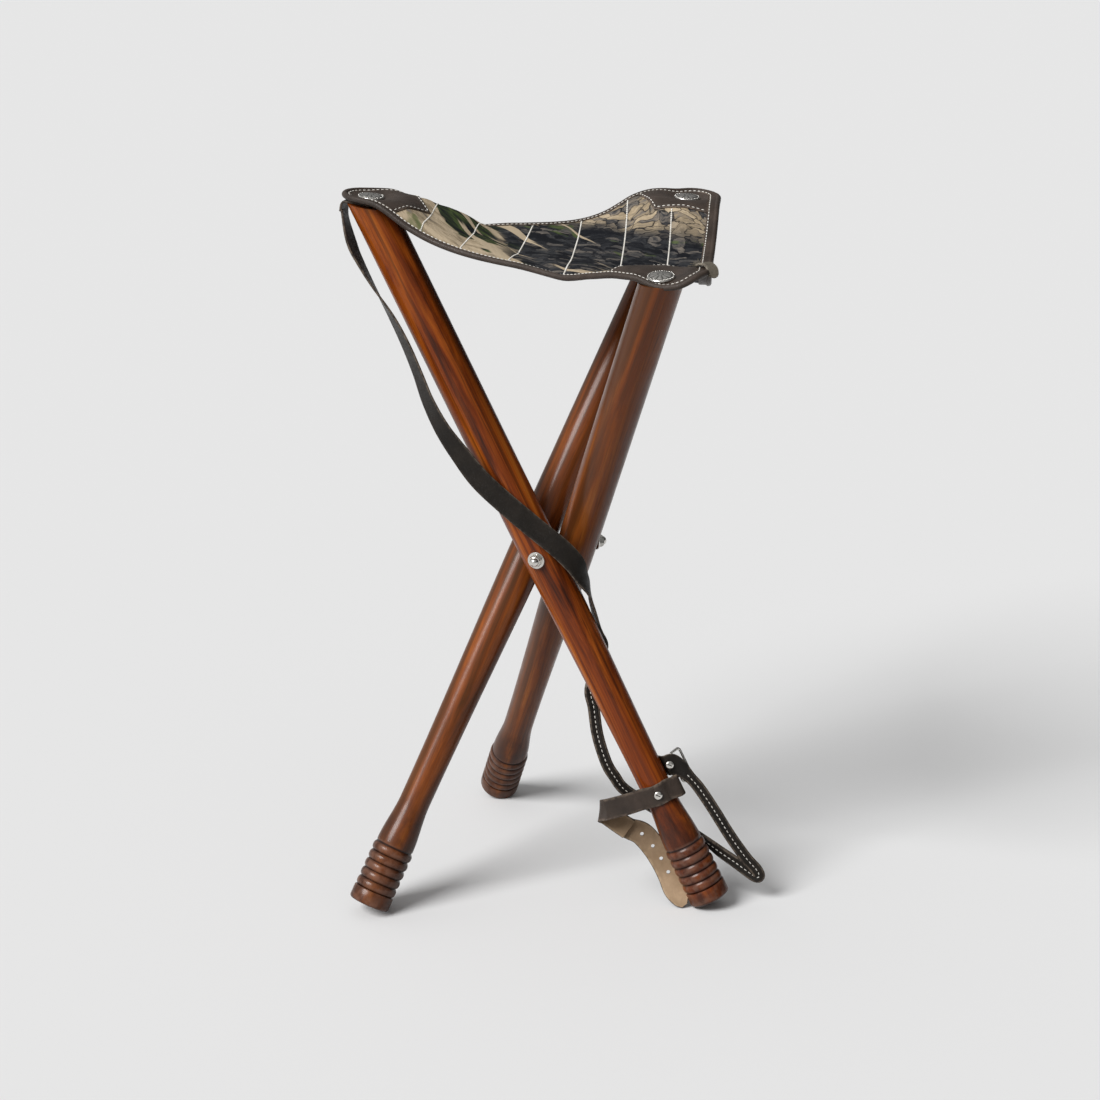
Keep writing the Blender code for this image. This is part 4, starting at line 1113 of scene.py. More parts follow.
@dataclass
class BoltSet:
    """Cap nuts and washers on the three studs of the bolt."""

    legs: dict[LegName, TurnedLeg]
    washer: float = 0.0012
    outer_radius: float = 0.0078
    inner_radius: float = 0.0057
    flats: float = 0.010
    hex_height: float = 0.0052
    dome_radius: float = 0.0043
    wall: float = 0.0014
    lip: float = 0.0002
    sides: int = 48
    sharp: float = 30.0

    def nut(self) -> BMesh:
        """Cap nut with a chamfered hexagon and a domed crown.

        Returns:
            The nut, from z = 0 up.
        """
        corner, rows, top, round_off = self.flats / math.sqrt(3.0), [], self.hex_height, self.dome_radius
        crown = top + GAP + self.wall - round_off / 2
        for height, inset in ((0.0, 0.0006), (0.0005, 0.0), (top - 0.0007, 0.0), (top, 0.0007)):
            ring = []
            for i in range(self.sides):
                turn = 2.0 * math.pi * i / self.sides
                flat = self.flats / 2 / math.cos((turn % (math.pi / 3)) - math.pi / 6)
                reach = min(flat, corner - inset * 0.9)
                ring.append(Vector((reach * math.cos(turn), reach * math.sin(turn), height)))
            rows.append(ring)
        dome = [(top, round_off + 0.0003), (top + 0.0002, round_off)]
        dome += [(crown + round_off * math.sin(math.radians(a)), round_off * math.cos(math.radians(a)))
                 for a in range(0, 90, 10)]
        return loft(rows + [circle(radius, height, self.sides) for height, radius in dome])

    def ring(self, radius: float) -> BMesh:
        """Washer with rounded rims.

        Args:
            radius: outer radius.

        Returns:
            The washer, from z = 0 up.
        """
        bore, lip, top = TurnedLeg.stud_radius + GAP, self.lip, self.washer
        rows = ((0.0, bore), (0.0, radius - lip), (lip, radius), (top - lip, radius), (top, radius - lip),
                (top, bore))
        return loft([circle(reach, height, self.sides) for height, reach in rows], closed=True)

    def build(self) -> list[Object]:
        """Set a nut and two washers on every stud.

        Returns:
            The pieces.
        """
        outer, inner, nuts = [], [], []
        for leg in self.legs.values():
            radius = leg.radius(leg.foot_to_pivot)
            axis, pivot = leg.stance.axis, leg.stance.pivot
            outer.append((pivot + axis * (radius + GAP), axis))
            inner.append((pivot - axis * (radius + GAP + self.washer), axis))
            nuts.append((pivot + axis * (radius + 2 * GAP + self.washer), axis))
        made = []
        for node, places, shape in (("outer_washer", outer, self.ring(self.outer_radius)),
                                    ("inner_washer", inner, self.ring(self.inner_radius)),
                                    ("cap_nut", nuts, self.nut())):
            template = piece("template", shape, [FINISHES.nickel], self.sharp)
            points = line_mesh([[place] for place in places])
            grown = TREES.grow(node + "s", TREES.fasteners, points, self.sharp, Fastener=template,
                               Material=FINISHES.nickel)
            bpy.data.objects.remove(template)
            made.append(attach(dressed(grown, Slot.NICKEL, *(f"{node}_{leg.value}" for leg in LEGS)), "hub"))
        bolt = frame["nodes"]["three_way_bolt"]
        bolt.data.materials.clear()
        bolt.data.materials.append(FINISHES.nickel)
        return made


# Seat

def bell(value: float) -> float:
    """Rounded bump from -1 to 1."""
    return max(1.0 - value * value, 0.0) ** 2


@dataclass(frozen=True)
class Fold:
    """A local rise or fall of the cloth beside one edge of the seat."""

    edge: LegName
    middle: float
    spread: float
    inset: float
    reach: float
    rise: float


@dataclass(frozen=True)
class Pad:
    """How one corner lies on its leg.

    before and after are the flat shares towards the corner before and after it, lean is the slope in plan and
    dish is how far its rim stands above the screw.
    """

    before: float
    after: float
    lean: Row
    dish: float


@dataclass
class SeatShape:
    """Plan and height of the sling seat."""

    tops: dict[LegName, Vector]
    stacks: dict[LegName, float]
    corner_radius: float = 0.026
    shifts: dict[LegName, Row] = field(default_factory=lambda: per_leg(
        (0.0, 0.0), (0.016, 0.0), (0.006, 0.0)))
    bows: dict[LegName, float] = field(default_factory=lambda: per_leg(0.015, 0.003, 0.015))
    pads: dict[LegName, Pad] = field(default_factory=lambda: per_leg(
        Pad(0.112, 0.086, (-0.10, 0.03), 0.0036), Pad(0.128, 0.110, (0.02, 0.035), 0.0024),
        Pad(0.110, 0.165, (-0.07, 0.06), 0.0042)))
    pad_reach: Row = (0.030, 0.035)
    dish_reach: Row = (0.010, 0.016)
    folds: tuple[Fold, ...] = (Fold(LegName.C, 0.74, 0.15, 0.024, 0.030, 0.007),
                               Fold(LegName.A, 0.58, 0.42, 0.0, 0.090, 0.0085),
                               Fold(LegName.A, 1.0, 0.10, 0.0, 0.020, -0.0035),
                               Fold(LegName.A, 0.835, 0.10, 0.0, 0.022, -0.0036),
                               Fold(LegName.B, 0.0, 0.16, 0.0, 0.032, 0.006),
                               Fold(LegName.C, 0.48, 0.30, 0.0, 0.050, 0.0045))
    valley: tuple[Row, Row] = ((-0.0625, 0.0413), (0.0044, -0.119))
    valley_depth: float = 0.004
    valley_reach: float = 0.030
    sag: float = 0.029
    stretch: float = 0.011
    bend: float = 0.070
    bend_shares: Row = (0.5, 0.93)
    bend_level: float = 0.6
    arc_steps: int = 12
    edge_steps: int = 56
    half_steps: int = 34
    crowding: float = 0.30

    def shares(self, x: float, y: float) -> dict[LegName, float]:
        """Plain shares of the three corners at a point in plan.

        Args:
            x: place in plan.
            y: place in plan.

        Returns:
            Share of each corner.
        """
        a, b, c = (self.tops[leg] for leg in LEGS)
        area = (b.y - c.y) * (a.x - c.x) + (c.x - b.x) * (a.y - c.y)
        first = ((b.y - c.y) * (x - c.x) + (c.x - b.x) * (y - c.y)) / area
        second = ((c.y - a.y) * (x - c.x) + (a.x - c.x) * (y - c.y)) / area
        return per_leg(first, second, 1.0 - first - second)

    def height(self, x: float, y: float) -> float:
        """Height of the middle of the canvas at a point in plan.

        Args:
            x: place in plan.
            y: place in plan.

        Returns:
            The height.
        """
        shares = {leg: max(share, 0.0) for leg, share in self.shares(x, y).items()}
        total = sum(shares.values())
        shares = {leg: share / total for leg, share in shares.items()}
        near = max(shares, key=shares.get)
        away = 1.0 - shares[near]
        if 0.0 < away < 0.5:
            pad = self.pads[near]
            flat = pad.before + (pad.after - pad.before) * shares[near.turned(1)] / away
            pull = (flat + self.bend) * ((1.0 - 2.0 * away) / (1.0 - 2.0 * flat)) ** 2
            value = away - pull
            eased = max(value, 0.0)
            if abs(value) < self.bend:
                eased = (value + self.bend) ** 2 / (4.0 * self.bend)
            shares = {leg: share * eased / away for leg, share in shares.items()}
            shares[near] = 1.0 - eased
        a, b, c = shares.values()
        level = sum(share * (self.tops[leg].z + self.stacks[leg]) for leg, share in shares.items())
        level += 27.0 * self.stretch * a * b * c
        level -= 4.0 * self.sag * (a * b + b * c + c * a)
        return level + self.padding(near, x, y) + self.crumple(x, y)

    def padding(self, leg: LegName, x: float, y: float) -> float:
        """How a corner's pad leans and dishes round its screw.

        Args:
            leg: corner.
            x: place in plan.
            y: place in plan.

        Returns:
            The rise.
        """
        pad, offset = self.pads[leg], Vector((x, y)) - self.tops[leg].xy
        rim, fade = (smooth((offset.length - start) / width)
                     for start, width in (self.dish_reach, self.pad_reach))
        return (offset.dot(Vector(pad.lean)) + pad.dish * rim) * (1.0 - fade)

    def crumple(self, x: float, y: float) -> float:
        """Folds beside the edges and the valley that crosses the cloth.

        Args:
            x: place in plan.
            y: place in plan.

        Returns:
            The rise.
        """
        point = Vector((x, y))
        rise = 0.0
        for fold in self.folds:
            share, inset = self.beside(fold.edge, point)
            way, deep = (share - fold.middle) / fold.spread, (inset - fold.inset) / fold.reach
            rise += fold.rise * bell(way) * bell(deep)
        start, end = (Vector(row) for row in self.valley)
        along = (end - start).normalized()
        across = math.hypot((point - start).cross(along), 0.002) / self.valley_reach
        return rise - self.valley_depth * max(1.0 - across, 0.0) ** 2

    def beside(self, leg: LegName, point: Vector) -> tuple[float, float]:
        """Share along the edge that leaves a corner, and distance inside it, of a plan point.

        Args:
            leg: corner that the edge leaves.
            point: place in plan.

        Returns:
            The share and the distance.
        """
        start, end = self.corner(leg), self.corner(leg.turned(1))
        along = (end - start).normalized()
        share = min(max((point - start).dot(along) / (end - start).length, 0.0), 1.0)
        outside = (point - start).dot(Vector((along.y, -along.x)))
        return share, self.corner_radius - self.bow(leg, share) - outside

    def bow(self, leg: LegName, share: float) -> float:
        """How far in the edge that leaves a corner bows at a share of its length."""
        return self.bows[leg] * 16.0 * (share * (1.0 - share)) ** 2

    def inset(self, point: Vector) -> float:
        """Distance of a plan point from the nearest edge of the seat."""
        return min(self.beside(leg, point)[1] for leg in LEGS)

    def on(self, point: Vector, lift: float = 0.0) -> Vector:
        """Plan point set on the seat, lifted along its surface direction."""
        base = Vector((point.x, point.y, self.height(point.x, point.y)))
        return base + self.normal(point) * lift if lift else base

    def normal(self, point: Vector) -> Vector:
        """Direction that the seat faces at a plan point.

        Args:
            point: place in plan.

        Returns:
            The direction.
        """
        step = 0.002
        slope_x = self.height(point.x + step, point.y) - self.height(point.x - step, point.y)
        slope_y = self.height(point.x, point.y + step) - self.height(point.x, point.y - step)
        return Vector((-slope_x, -slope_y, 2.0 * step)).normalized()

    def corner(self, leg: LegName) -> Vector:
        """Middle of a corner's round edge in plan."""
        return self.tops[leg].xy + Vector(self.shifts[leg])

    def direction(self, leg: LegName, other: LegName) -> Vector:
        """Direction in plan from one corner to another."""
        return (self.corner(other) - self.corner(leg)).normalized()

    def arc(self, leg: LegName, first: float, last: float, steps: int) -> list[Vector]:
        """Plan points round one corner, counter-clockwise.

        Args:
            leg: corner.
            first: distance from the corner's middle at the edge before it.
            last: distance from the corner's middle at the edge after it.
            steps: steps round the arc.

        Returns:
            The points.
        """
        before, after = self.direction(leg.turned(-1), leg), self.direction(leg, leg.turned(1))
        start = math.atan2(-before.x, before.y)
        sweep = (math.atan2(-after.x, after.y) - start) % (2.0 * math.pi)
        points = []
        for i in range(steps + 1):
            turn, reach = start + sweep * i / steps, first + (last - first) * i / steps
            points.append(self.corner(leg) + reach * Vector((math.cos(turn), math.sin(turn))))
        return points

    def edge(self, leg: LegName, share: float, offset: float) -> Vector:
        """Plan point along the edge that leaves a corner.

        Args:
            leg: corner that the edge leaves.
            share: part of the edge's length.
            offset: distance outside the line between the corners.

        Returns:
            The point.
        """
        start, end = self.corner(leg), self.corner(leg.turned(1))
        along = (end - start).normalized()
        return start.lerp(end, share) + Vector((along.y, -along.x)) * (offset - self.bow(leg, share))

    def spread(self, share: float) -> float:
        """Crowd stations towards the corners."""
        turn = 2.0 * math.pi * share
        return (turn - self.crowding * math.sin(turn)) / (2.0 * math.pi)

    def outline(self, offset: float) -> list[Vector]:
        """Closed plan outline, counter-clockwise.

        Args:
            offset: distance outside the line between the corners.

        Returns:
            The points.
        """
        points = []
        for leg in LEGS:
            points += self.arc(leg, offset, offset, self.arc_steps)
            shares = (self.spread(i / self.edge_steps) for i in range(1, self.edge_steps))
            points += [self.edge(leg, share, offset) for share in shares]
        return points

    def corner_run(self, leg: LegName, first: float, last: float) -> list[Vector]:
        """Plan points from one edge's middle round a corner to the next edge's middle.

        Args:
            leg: corner.
            first: distance outside the line between the corners, on the edge before the corner.
            last: the same on the edge after it.

        Returns:
            The points, counter-clockwise.
        """
        before, half = leg.turned(-1), self.half_steps
        start, end = self.middle_share(before), self.middle_share(leg)
        points = [self.edge(before, start + (1.0 - start) * i / half, first) for i in range(half)]
        points += self.arc(leg, first, last, self.arc_steps)
        return points + [self.edge(leg, end * i / half, last) for i in range(1, half + 1)]

    def middle_share(self, leg: LegName) -> float:
        """Share of an edge at which its two corners' pieces meet.

        Args:
            leg: corner that the edge leaves.

        Returns:
            The share.
        """
        low, high = 0.0, 1.0
        for _ in range(40):
            middle = (low + high) / 2.0
            shares = self.shares(*self.edge(leg, middle, self.corner_radius))
            low, high = (middle, high) if shares[leg] > shares[leg.turned(1)] else (low, middle)
        return low

    def bend_line(self, leg: LegName) -> tuple[Vector, Vector]:
        """Start and end of the bend between the hub and a leg, square to the opposite side.

        Args:
            leg: corner.

        Returns:
            The start and the end.
        """
        one, two = self.tops[leg.turned(1)], self.tops[leg.turned(2)]
        side = (two - one).xy.normalized()
        square = Vector((side.y, -side.x))
        rise = (self.tops[leg] - one).xy.dot(square)
        foot = self.tops[leg].xy - square * rise
        level = Vector((0.0, 0.0, self.bend_level))
        return tuple((foot + square * rise * share).to_3d() + level for share in self.bend_shares)


@dataclass
class SlingSeat:
    """Canvas sling with its piping, edge strips, corner patches and seams."""

    shape: SeatShape
    canvas: float = 0.0015
    inset: float = 0.0035
    bead: float = 0.0027
    leather: float = 0.0011
    strips: dict[LegName, Row] = field(default_factory=lambda: per_leg(
        (0.0066, 0.0008), (0.0112, 0.0017), (0.0066, 0.0008)))
    patches: dict[LegName, tuple[float, float, Row]] = field(default_factory=lambda: per_leg(
        (0.043, 0.039, (0.0530, -0.0060)), (0.062, 0.038, (-0.026, 0.042)),
        (0.0430, 0.050, (-0.0315, -0.0375))))
    seams: tuple[Row, ...] = ((0.20, 0.225), (0.32, 0.35), (0.47, 0.50), (0.655, 0.655), (0.83, 0.81),
                              (0.975, 0.965))
    seam_stitch: tuple[float, ...] = (0.0026, 0.0026, 0.0016, 0.0010)
    border_stitch: tuple[float, ...] = (0.0042, 0.0031, 0.0011, 0.0008)
    border_inset: float = 0.0022
    puff_rise: float = 0.0014
    puff_reach: float = 0.007
    seam_sink: float = 0.0005
    edge_ease: Row = (0.010, 0.014)
    patch_ease: float = 0.018
    rings: int = 34
    ring_crowding: float = 1.25
    side_steps: int = 12
    edge_marks: tuple[float, ...] = (0.2, 0.8, 0.5, 0.0, 0.0, 0.0, 0.0)
    patch_shares: tuple[float, ...] = (0.04, 0.14, 0.26, 0.38, 0.5, 0.62, 0.74, 0.84, 0.92)
    slack: float = 0.00015
    sharp: float = 50.0
    cloth_sharp: float = 70.0

    @property
    def low(self) -> float:
        """Height of the leather's inner face over the middle of the canvas."""
        return self.canvas / 2 + self.slack

    @property
    def top(self) -> float:
        """Height of a patch's outer face over the middle of the canvas."""
        return self.low + self.leather

    def bend(self, made: Object, leg: Optional[LegName]) -> Object:
        """Carry a piece on the hub, or else apply its transform and leave it where it is.

        Args:
            made: the piece.
            leg: leg at its outer end, or None.

        Returns:
            The piece.
        """
        if leg is None:
            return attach(made, "hub")
        start, end = self.shape.bend_line(leg)
        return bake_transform(made)

    def puff(self, point: Vector) -> float:
        """How far the cloth stands up between its sewn seams.

        Args:
            point: place in plan.

        Returns:
            The rise.
        """
        near = min(abs((point - start).dot(square)) for start, square in self.seam_lines)
        rise = self.puff_rise * (1.0 - math.exp(-(near / self.puff_reach) ** 2)) - self.seam_sink
        clear = min((point - self.shape.tops[leg].xy).length - max(self.patches[leg][:2]) for leg in LEGS)
        inside = smooth((self.shape.inset(point) - self.edge_ease[0]) / self.edge_ease[1])
        return rise * inside * smooth(clear / self.patch_ease)

    @cached_property
    def seam_ends(self) -> list[tuple[Vector, Vector]]:
        """Plan ends of each seam on the front edge and on the far edge."""
        shape, offset = self.shape, self.shape.corner_radius - self.strips[LegName.A][0] + 0.001
        return [(shape.edge(LegName.A, front, offset), shape.edge(LegName.C, 1.0 - far, offset))
                for front, far in self.seams]

    @cached_property
    def seam_lines(self) -> Line:
        """Start and square direction of each seam in plan."""
        ways = [(start, (end - start).normalized()) for start, end in self.seam_ends]
        return [(start, Vector((along.y, -along.x))) for start, along in ways]

    def build_canvas(self) -> list[Object]:
        """Canvas in a middle piece and three corner pieces that meet edge to edge.

        Returns:
            The middle piece and the corner pieces.
        """
        shape = self.shape
        outline = shape.outline(shape.corner_radius - self.inset)
        middle, count = sum(outline, Vector((0.0, 0.0))) / len(outline), len(outline)
        sheet, rows = bmesh.new(), []
        for i in range(1, self.rings + 1):
            share = 1.0 - (1.0 - i / self.rings) ** self.ring_crowding
            rows.append([sheet.verts.new(middle.lerp(point, share).to_3d()) for point in outline])
        pole = sheet.verts.new(middle.to_3d())
        for i in range(count):
            sheet.faces.new((pole, rows[0][i], rows[0][(i + 1) % count]))
        for low, high in zip(rows, rows[1:]):
            for i in range(count):
                j = (i + 1) % count
                sheet.faces.new((low[i], high[i], high[j], low[j]))
        for leg in LEGS:
            start, end = shape.bend_line(leg)
            bmesh.ops.bisect_plane(sheet, geom=sheet.verts[:] + sheet.edges[:] + sheet.faces[:], dist=1e-7,
                                   plane_co=(start.x, start.y, 0.0), plane_no=(end - start).normalized())
        made = [self.canvas_piece(sheet, leg) for leg in (None, *LEGS)]
        sheet.free()
        return made

    def owner(self, point: Vector) -> Optional[LegName]:
        """Corner that carries a plan point, or None for the middle."""
        shares = self.shape.shares(*point)
        return next((leg for leg in LEGS if shares[leg] > 0.5), None)

    def canvas_piece(self, sheet: BMesh, leg: Optional[LegName]) -> Object:
        """Thicken the part of the flat sheet that belongs to one corner or to the middle.

        Args:
            sheet: flat sheet with its cuts.
            leg: corner, or None for the middle.

        Returns:
            The canvas piece.
        """
        shape, half, bm = self.shape, self.canvas / 2, bmesh.new()
        place = bm.verts.layers.float_vector.new("cloth_place")
        tops, bottoms = {}, {}
        for face in sheet.faces:
            if self.owner(face.calc_center_median().xy) is not leg:
                continue
            for vertex in face.verts:
                if vertex in tops:
                    continue
                point = vertex.co.xy
                normal = shape.normal(point)
                base = shape.on(point) + normal * self.puff(point)
                tops[vertex] = bm.verts.new(base + normal * half)
                bottoms[vertex] = bm.verts.new(base - normal * half)
                for made in (tops[vertex], bottoms[vertex]):
                    made[place] = point.to_3d()
            bm.faces.new([tops[vertex] for vertex in face.verts])
            bm.faces.new([bottoms[vertex] for vertex in reversed(face.verts)])
        low_of = {top: bottoms[vertex] for vertex, top in tops.items()}
        for edge in [edge for edge in bm.edges if edge.is_boundary and edge.verts[0] in low_of]:
            one, two = edge.verts
            bm.faces.new((one, two, low_of[two], low_of[one]))
        area = sum(face.calc_area() for face in bm.faces) / 2
        made = piece("canvas_" + (leg.value if leg else "middle"), bm, [FINISHES.canvas], self.cloth_sharp)
        self.bend(dressed(made, Slot.CANVAS, "seat_panel"), leg)
        # The flat size is measured on the formed cloth
        return made

    def build_piping(self, leg: LegName) -> Object:
        """Round leather bead along one corner's share of the edge.

        Args:
            leg: corner.

        Returns:
            The bead.
        """
        offset = self.shape.corner_radius - self.bead
        run = self.shape.corner_run(leg, offset, offset)
        line = [(self.shape.on(point), self.shape.normal(point)) for point in run]
        made = TREES.grow("piping_" + leg.value, TREES.tube, line_mesh([line]), Radius=self.bead, Sides=20,
                          Material=FINISHES.grain)
        return self.bend(dressed(made, Slot.LEATHER, "seat_binding"), leg)

    def build_strip(self, leg: LegName, side: int) -> Object:
        """Flat leather strip inside the bead, above or below the canvas.

        Args:
            leg: corner.
            side: 1 above the canvas, -1 below it.

        Returns:
            The strip.
        """
        shape, radius, thick = self.shape, self.shape.corner_radius, self.leather
        first, last = (radius - self.strips[edge][0] for edge in (leg.turned(-1), leg))
        outer = radius - 1.5 * self.bead
        columns = [(first + shift, last + shift, lift) for shift, lift in (
            (0.0, 0.0), (0.0, 0.5 * thick), (0.0005, 0.9 * thick), (0.0014, thick))]
        columns += [(outer + shift, outer + shift, lift) for shift, lift in (
            (-0.0009, 0.8 * thick), (0.0, 0.8 * thick), (0.0, 0.0))]
        runs = [[shape.on(point, side * (self.low + lift)) for point in shape.corner_run(leg, one, two)]
                for one, two, lift in columns]
        bm = loft([list(ring) for ring in zip(*runs)])
        mark(bm, "edge", self.edge_marks * len(runs[0]))
        name = f"edge_strip_{'top' if side > 0 else 'under'}_{leg.value}"
        made = piece(name, bm, [FINISHES.grain], self.sharp)
        return self.bend(dressed(made, Slot.LEATHER, "seat_binding"), leg)

    def patch_outline(self, leg: LegName) -> list[Vector]:
        """Closed plan outline of a corner patch.

        Args:
            leg: corner.

        Returns:
            The points, ending with the two straight inner sides.
        """
        shape, before, steps = self.shape, leg.turned(-1), self.side_steps
        first, last = (shape.corner_radius - self.strips[edge][0] - 0.0002 for edge in (before, leg))
        lengths = [(shape.corner(edge.turned(1)) - shape.corner(edge)).length for edge in (before, leg)]
        along, beyond, reach = self.patches[leg]
        tip = shape.tops[leg].xy + Vector(reach)
        points = [shape.edge(before, 1.0 - along / lengths[0] * (1.0 - i / 9.0), first) for i in range(9)]
        points += shape.arc(leg, first, last, 18)
        points += [shape.edge(leg, beyond / lengths[1] * i / 9.0, last) for i in range(1, 10)]
        start, end = points[0], points[-1]
        points += [end.lerp(tip, i / steps) for i in range(1, steps)] + [tip]
        return points + [tip.lerp(start, i / steps) for i in range(1, steps)]

    def patch_sides(self, leg: LegName) -> tuple[tuple[Vector, Vector], ...]:
        """Ends in plan of a patch's two straight inner sides.

        Args:
            leg: corner.

        Returns:
            The two ends of each side.
        """
        outline = self.patch_outline(leg)
        tip = outline[-self.side_steps]
        return (outline[-2 * self.side_steps], tip), (tip, outline[0])

    def build_patch(self, leg: LegName, side: int) -> Object:
        """Leather patch over or under one corner.

        Args:
            leg: corner.
            side: 1 above the canvas, -1 below it.

        Returns:
            The patch.
        """
        shape, outline, shares = self.shape, self.patch_outline(leg), self.patch_shares
        middle = shape.tops[leg].xy
        rows = [(share, self.low) for share in (*shares, 1.0)]
        rows += [(1.0, self.low + 0.7 * self.leather), (0.99, self.top), (0.97, self.top)]
        rows += [(share, self.top) for share in reversed(shares)]
        bm = loft([[shape.on(middle.lerp(point, share), side * height) for point in outline]
                   for share, height in rows])
        rim = range(len(shares), len(shares) + 3)
        mark(bm, "edge", [0.8 if row in rim else 0.0 for row in range(len(rows)) for _ in outline])
        name = ("corner_patch_" if side > 0 else "under_patch_") + leg.value
        made = piece(name + "_leather", bm, [FINISHES.grain], self.sharp)
        return self.bend(dressed(made, Slot.LEATHER, name), leg)

    def covered(self, point: Vector) -> bool:
        """Whether a plan point lies under a corner patch."""
        return any(self.shape.shares(*point)[leg] > 0.6 and all(
            (two - one).cross(point - one) > 0.0 for one, two in self.patch_sides(leg)) for leg in LEGS)

    def stitch_lines(self) -> dict[Optional[LegName], dict[str, list[Line]]]:
        """Seam and border lines of the seat, by the corner that carries them.

        Returns:
            Lines named seam or border for each corner and for the middle.
        """
        shape, radius = self.shape, self.shape.corner_radius
        found = {leg: {"seam": [], "border": []} for leg in [None, *LEGS]}
        for start, end in self.seam_ends:
            line, owner = [], "none"
            for i in range(161):
                point = start.lerp(end, i / 160.0)
                if self.covered(point):
                    line, owner = [], "none"
                    continue
                here = self.owner(point)
                if here is not owner:
                    line, owner = [], here
                    found[here]["seam"].append(line)
                lift = self.canvas / 2 + self.puff(point) + 0.0001
                line.append((shape.on(point, lift), shape.normal(point)))
        for leg in LEGS:
            edges = (self.strips[leg.turned(-1)], self.strips[leg])
            runs = [shape.corner_run(leg, *(radius - width + inside for width, inside in edges))]
            for one, two in self.patch_sides(leg):
                side = [one.lerp(two, i / 32.0) for i in range(2, 31)]
                middle = shape.tops[leg].xy
                runs.append([point + (middle - point).normalized() * self.border_inset for point in side])
            found[leg]["border"] = [[(shape.on(point, self.top), shape.normal(point)) for point in run]
                                    for run in runs]
        return found

    def build_stitches(self) -> list[Object]:
        """Sew every seam and border.

        Returns:
            The rows of stitches.
        """
        made, sizes = [], {"seam": self.seam_stitch, "border": self.border_stitch}
        for leg, kinds in self.stitch_lines().items():
            for kind, lines in kinds.items():
                lines = [line for line in lines if len(line) > 1]
                if not lines:
                    continue
                size = dict(zip(("Pitch", "Length", "Width", "Height"), sizes[kind]))
                row = TREES.grow(f"{kind}_stitches_{leg.value if leg else 'middle'}", TREES.stitches,
                                 line_mesh(lines), Material=FINISHES.thread, **size)
                made.append(self.bend(dressed(row, Slot.CANVAS), leg))
        return made

    def build(self) -> list[Object]:
        """Build the whole seat.

        Returns:
            The pieces.
        """
        made = self.build_canvas()
        for leg in LEGS:
            made.append(self.build_piping(leg))
            for side in (1, -1):
                made += [self.build_strip(leg, side), self.build_patch(leg, side)]
        return made + self.build_stitches()


@dataclass
class BindingEnd:
    """Loose end of the edge binding at corner b, with its frayed threads."""

    shape: SeatShape
    width: float = 0.0100
    thickness: float = 0.0022
    strands: int = 30
    reach: Row = (0.0035, 0.0075)
    thread: float = 0.00028
    seed: int = 7

    def spot(self, along: float, out: float, lift: float) -> tuple[Vector, Vector]:
        """Point near the corner's outer edge, and the direction the seat faces there.

        Args:
            along: distance along the edge from the corner's middle.
            out: distance outside the line between the corners.
            lift: height over the canvas.

        Returns:
            The point and the direction.
        """
        start, end = self.shape.corner(LegName.B), self.shape.corner(LegName.C)
        way = (end - start).normalized()
        plan = start + way * along + Vector((way.y, -way.x)) * out
        return self.shape.on(plan, lift), self.shape.normal(plan)

    def build(self) -> list[Object]:
        """Build the rounded end and the threads.

        Returns:
            The end and the threads.
        """
        rows = ((0.0125, 0.0150, 0.0034), (0.0085, 0.0185, 0.0044), (0.0035, 0.0222, 0.0050),
                (-0.0020, 0.0256, 0.0036), (-0.0056, 0.0272, 0.0008), (-0.0074, 0.0278, -0.0022),
                (-0.0082, 0.0279, -0.0038))
        route = [self.spot(*row) for row in rows]
        widths = [self.width * share for share in (0.80, 0.95, 1.0, 1.06, 1.05, 0.88, 0.40)]
        depths = [self.thickness] * len(rows)
        tongue = Strap("binding_end", route, widths, depths, Face.GRAIN, Hide.SUEDE).build()
        draw, lines = random.Random(self.seed), []
        base, up = route[0]
        side = (route[1][0] - base).normalized().cross(up)
        for _ in range(self.strands):
            root = base + side * draw.uniform(-0.5, 0.5) * self.width
            turn, rise, reach = draw.uniform(-1.3, 1.3), draw.uniform(0.1, 0.7), draw.uniform(*self.reach)
            way = (base - route[1][0]).normalized() * math.cos(turn) + side * math.sin(turn) + up * rise
            bow = up * draw.uniform(-0.3, 0.2) + side * draw.uniform(-0.3, 0.3)
            lines.append([(root + (way * share + bow * share * share) * reach, up)
                          for share in (0.0, 0.35, 0.7, 1.0)])
        fray = TREES.grow("frayed_threads", TREES.tube, line_mesh(lines), Radius=self.thread, Sides=5,
                          Material=FINISHES.suede)
        return [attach(dressed(made, Slot.LEATHER), LegName.B.body) for made in (tongue, fray)]


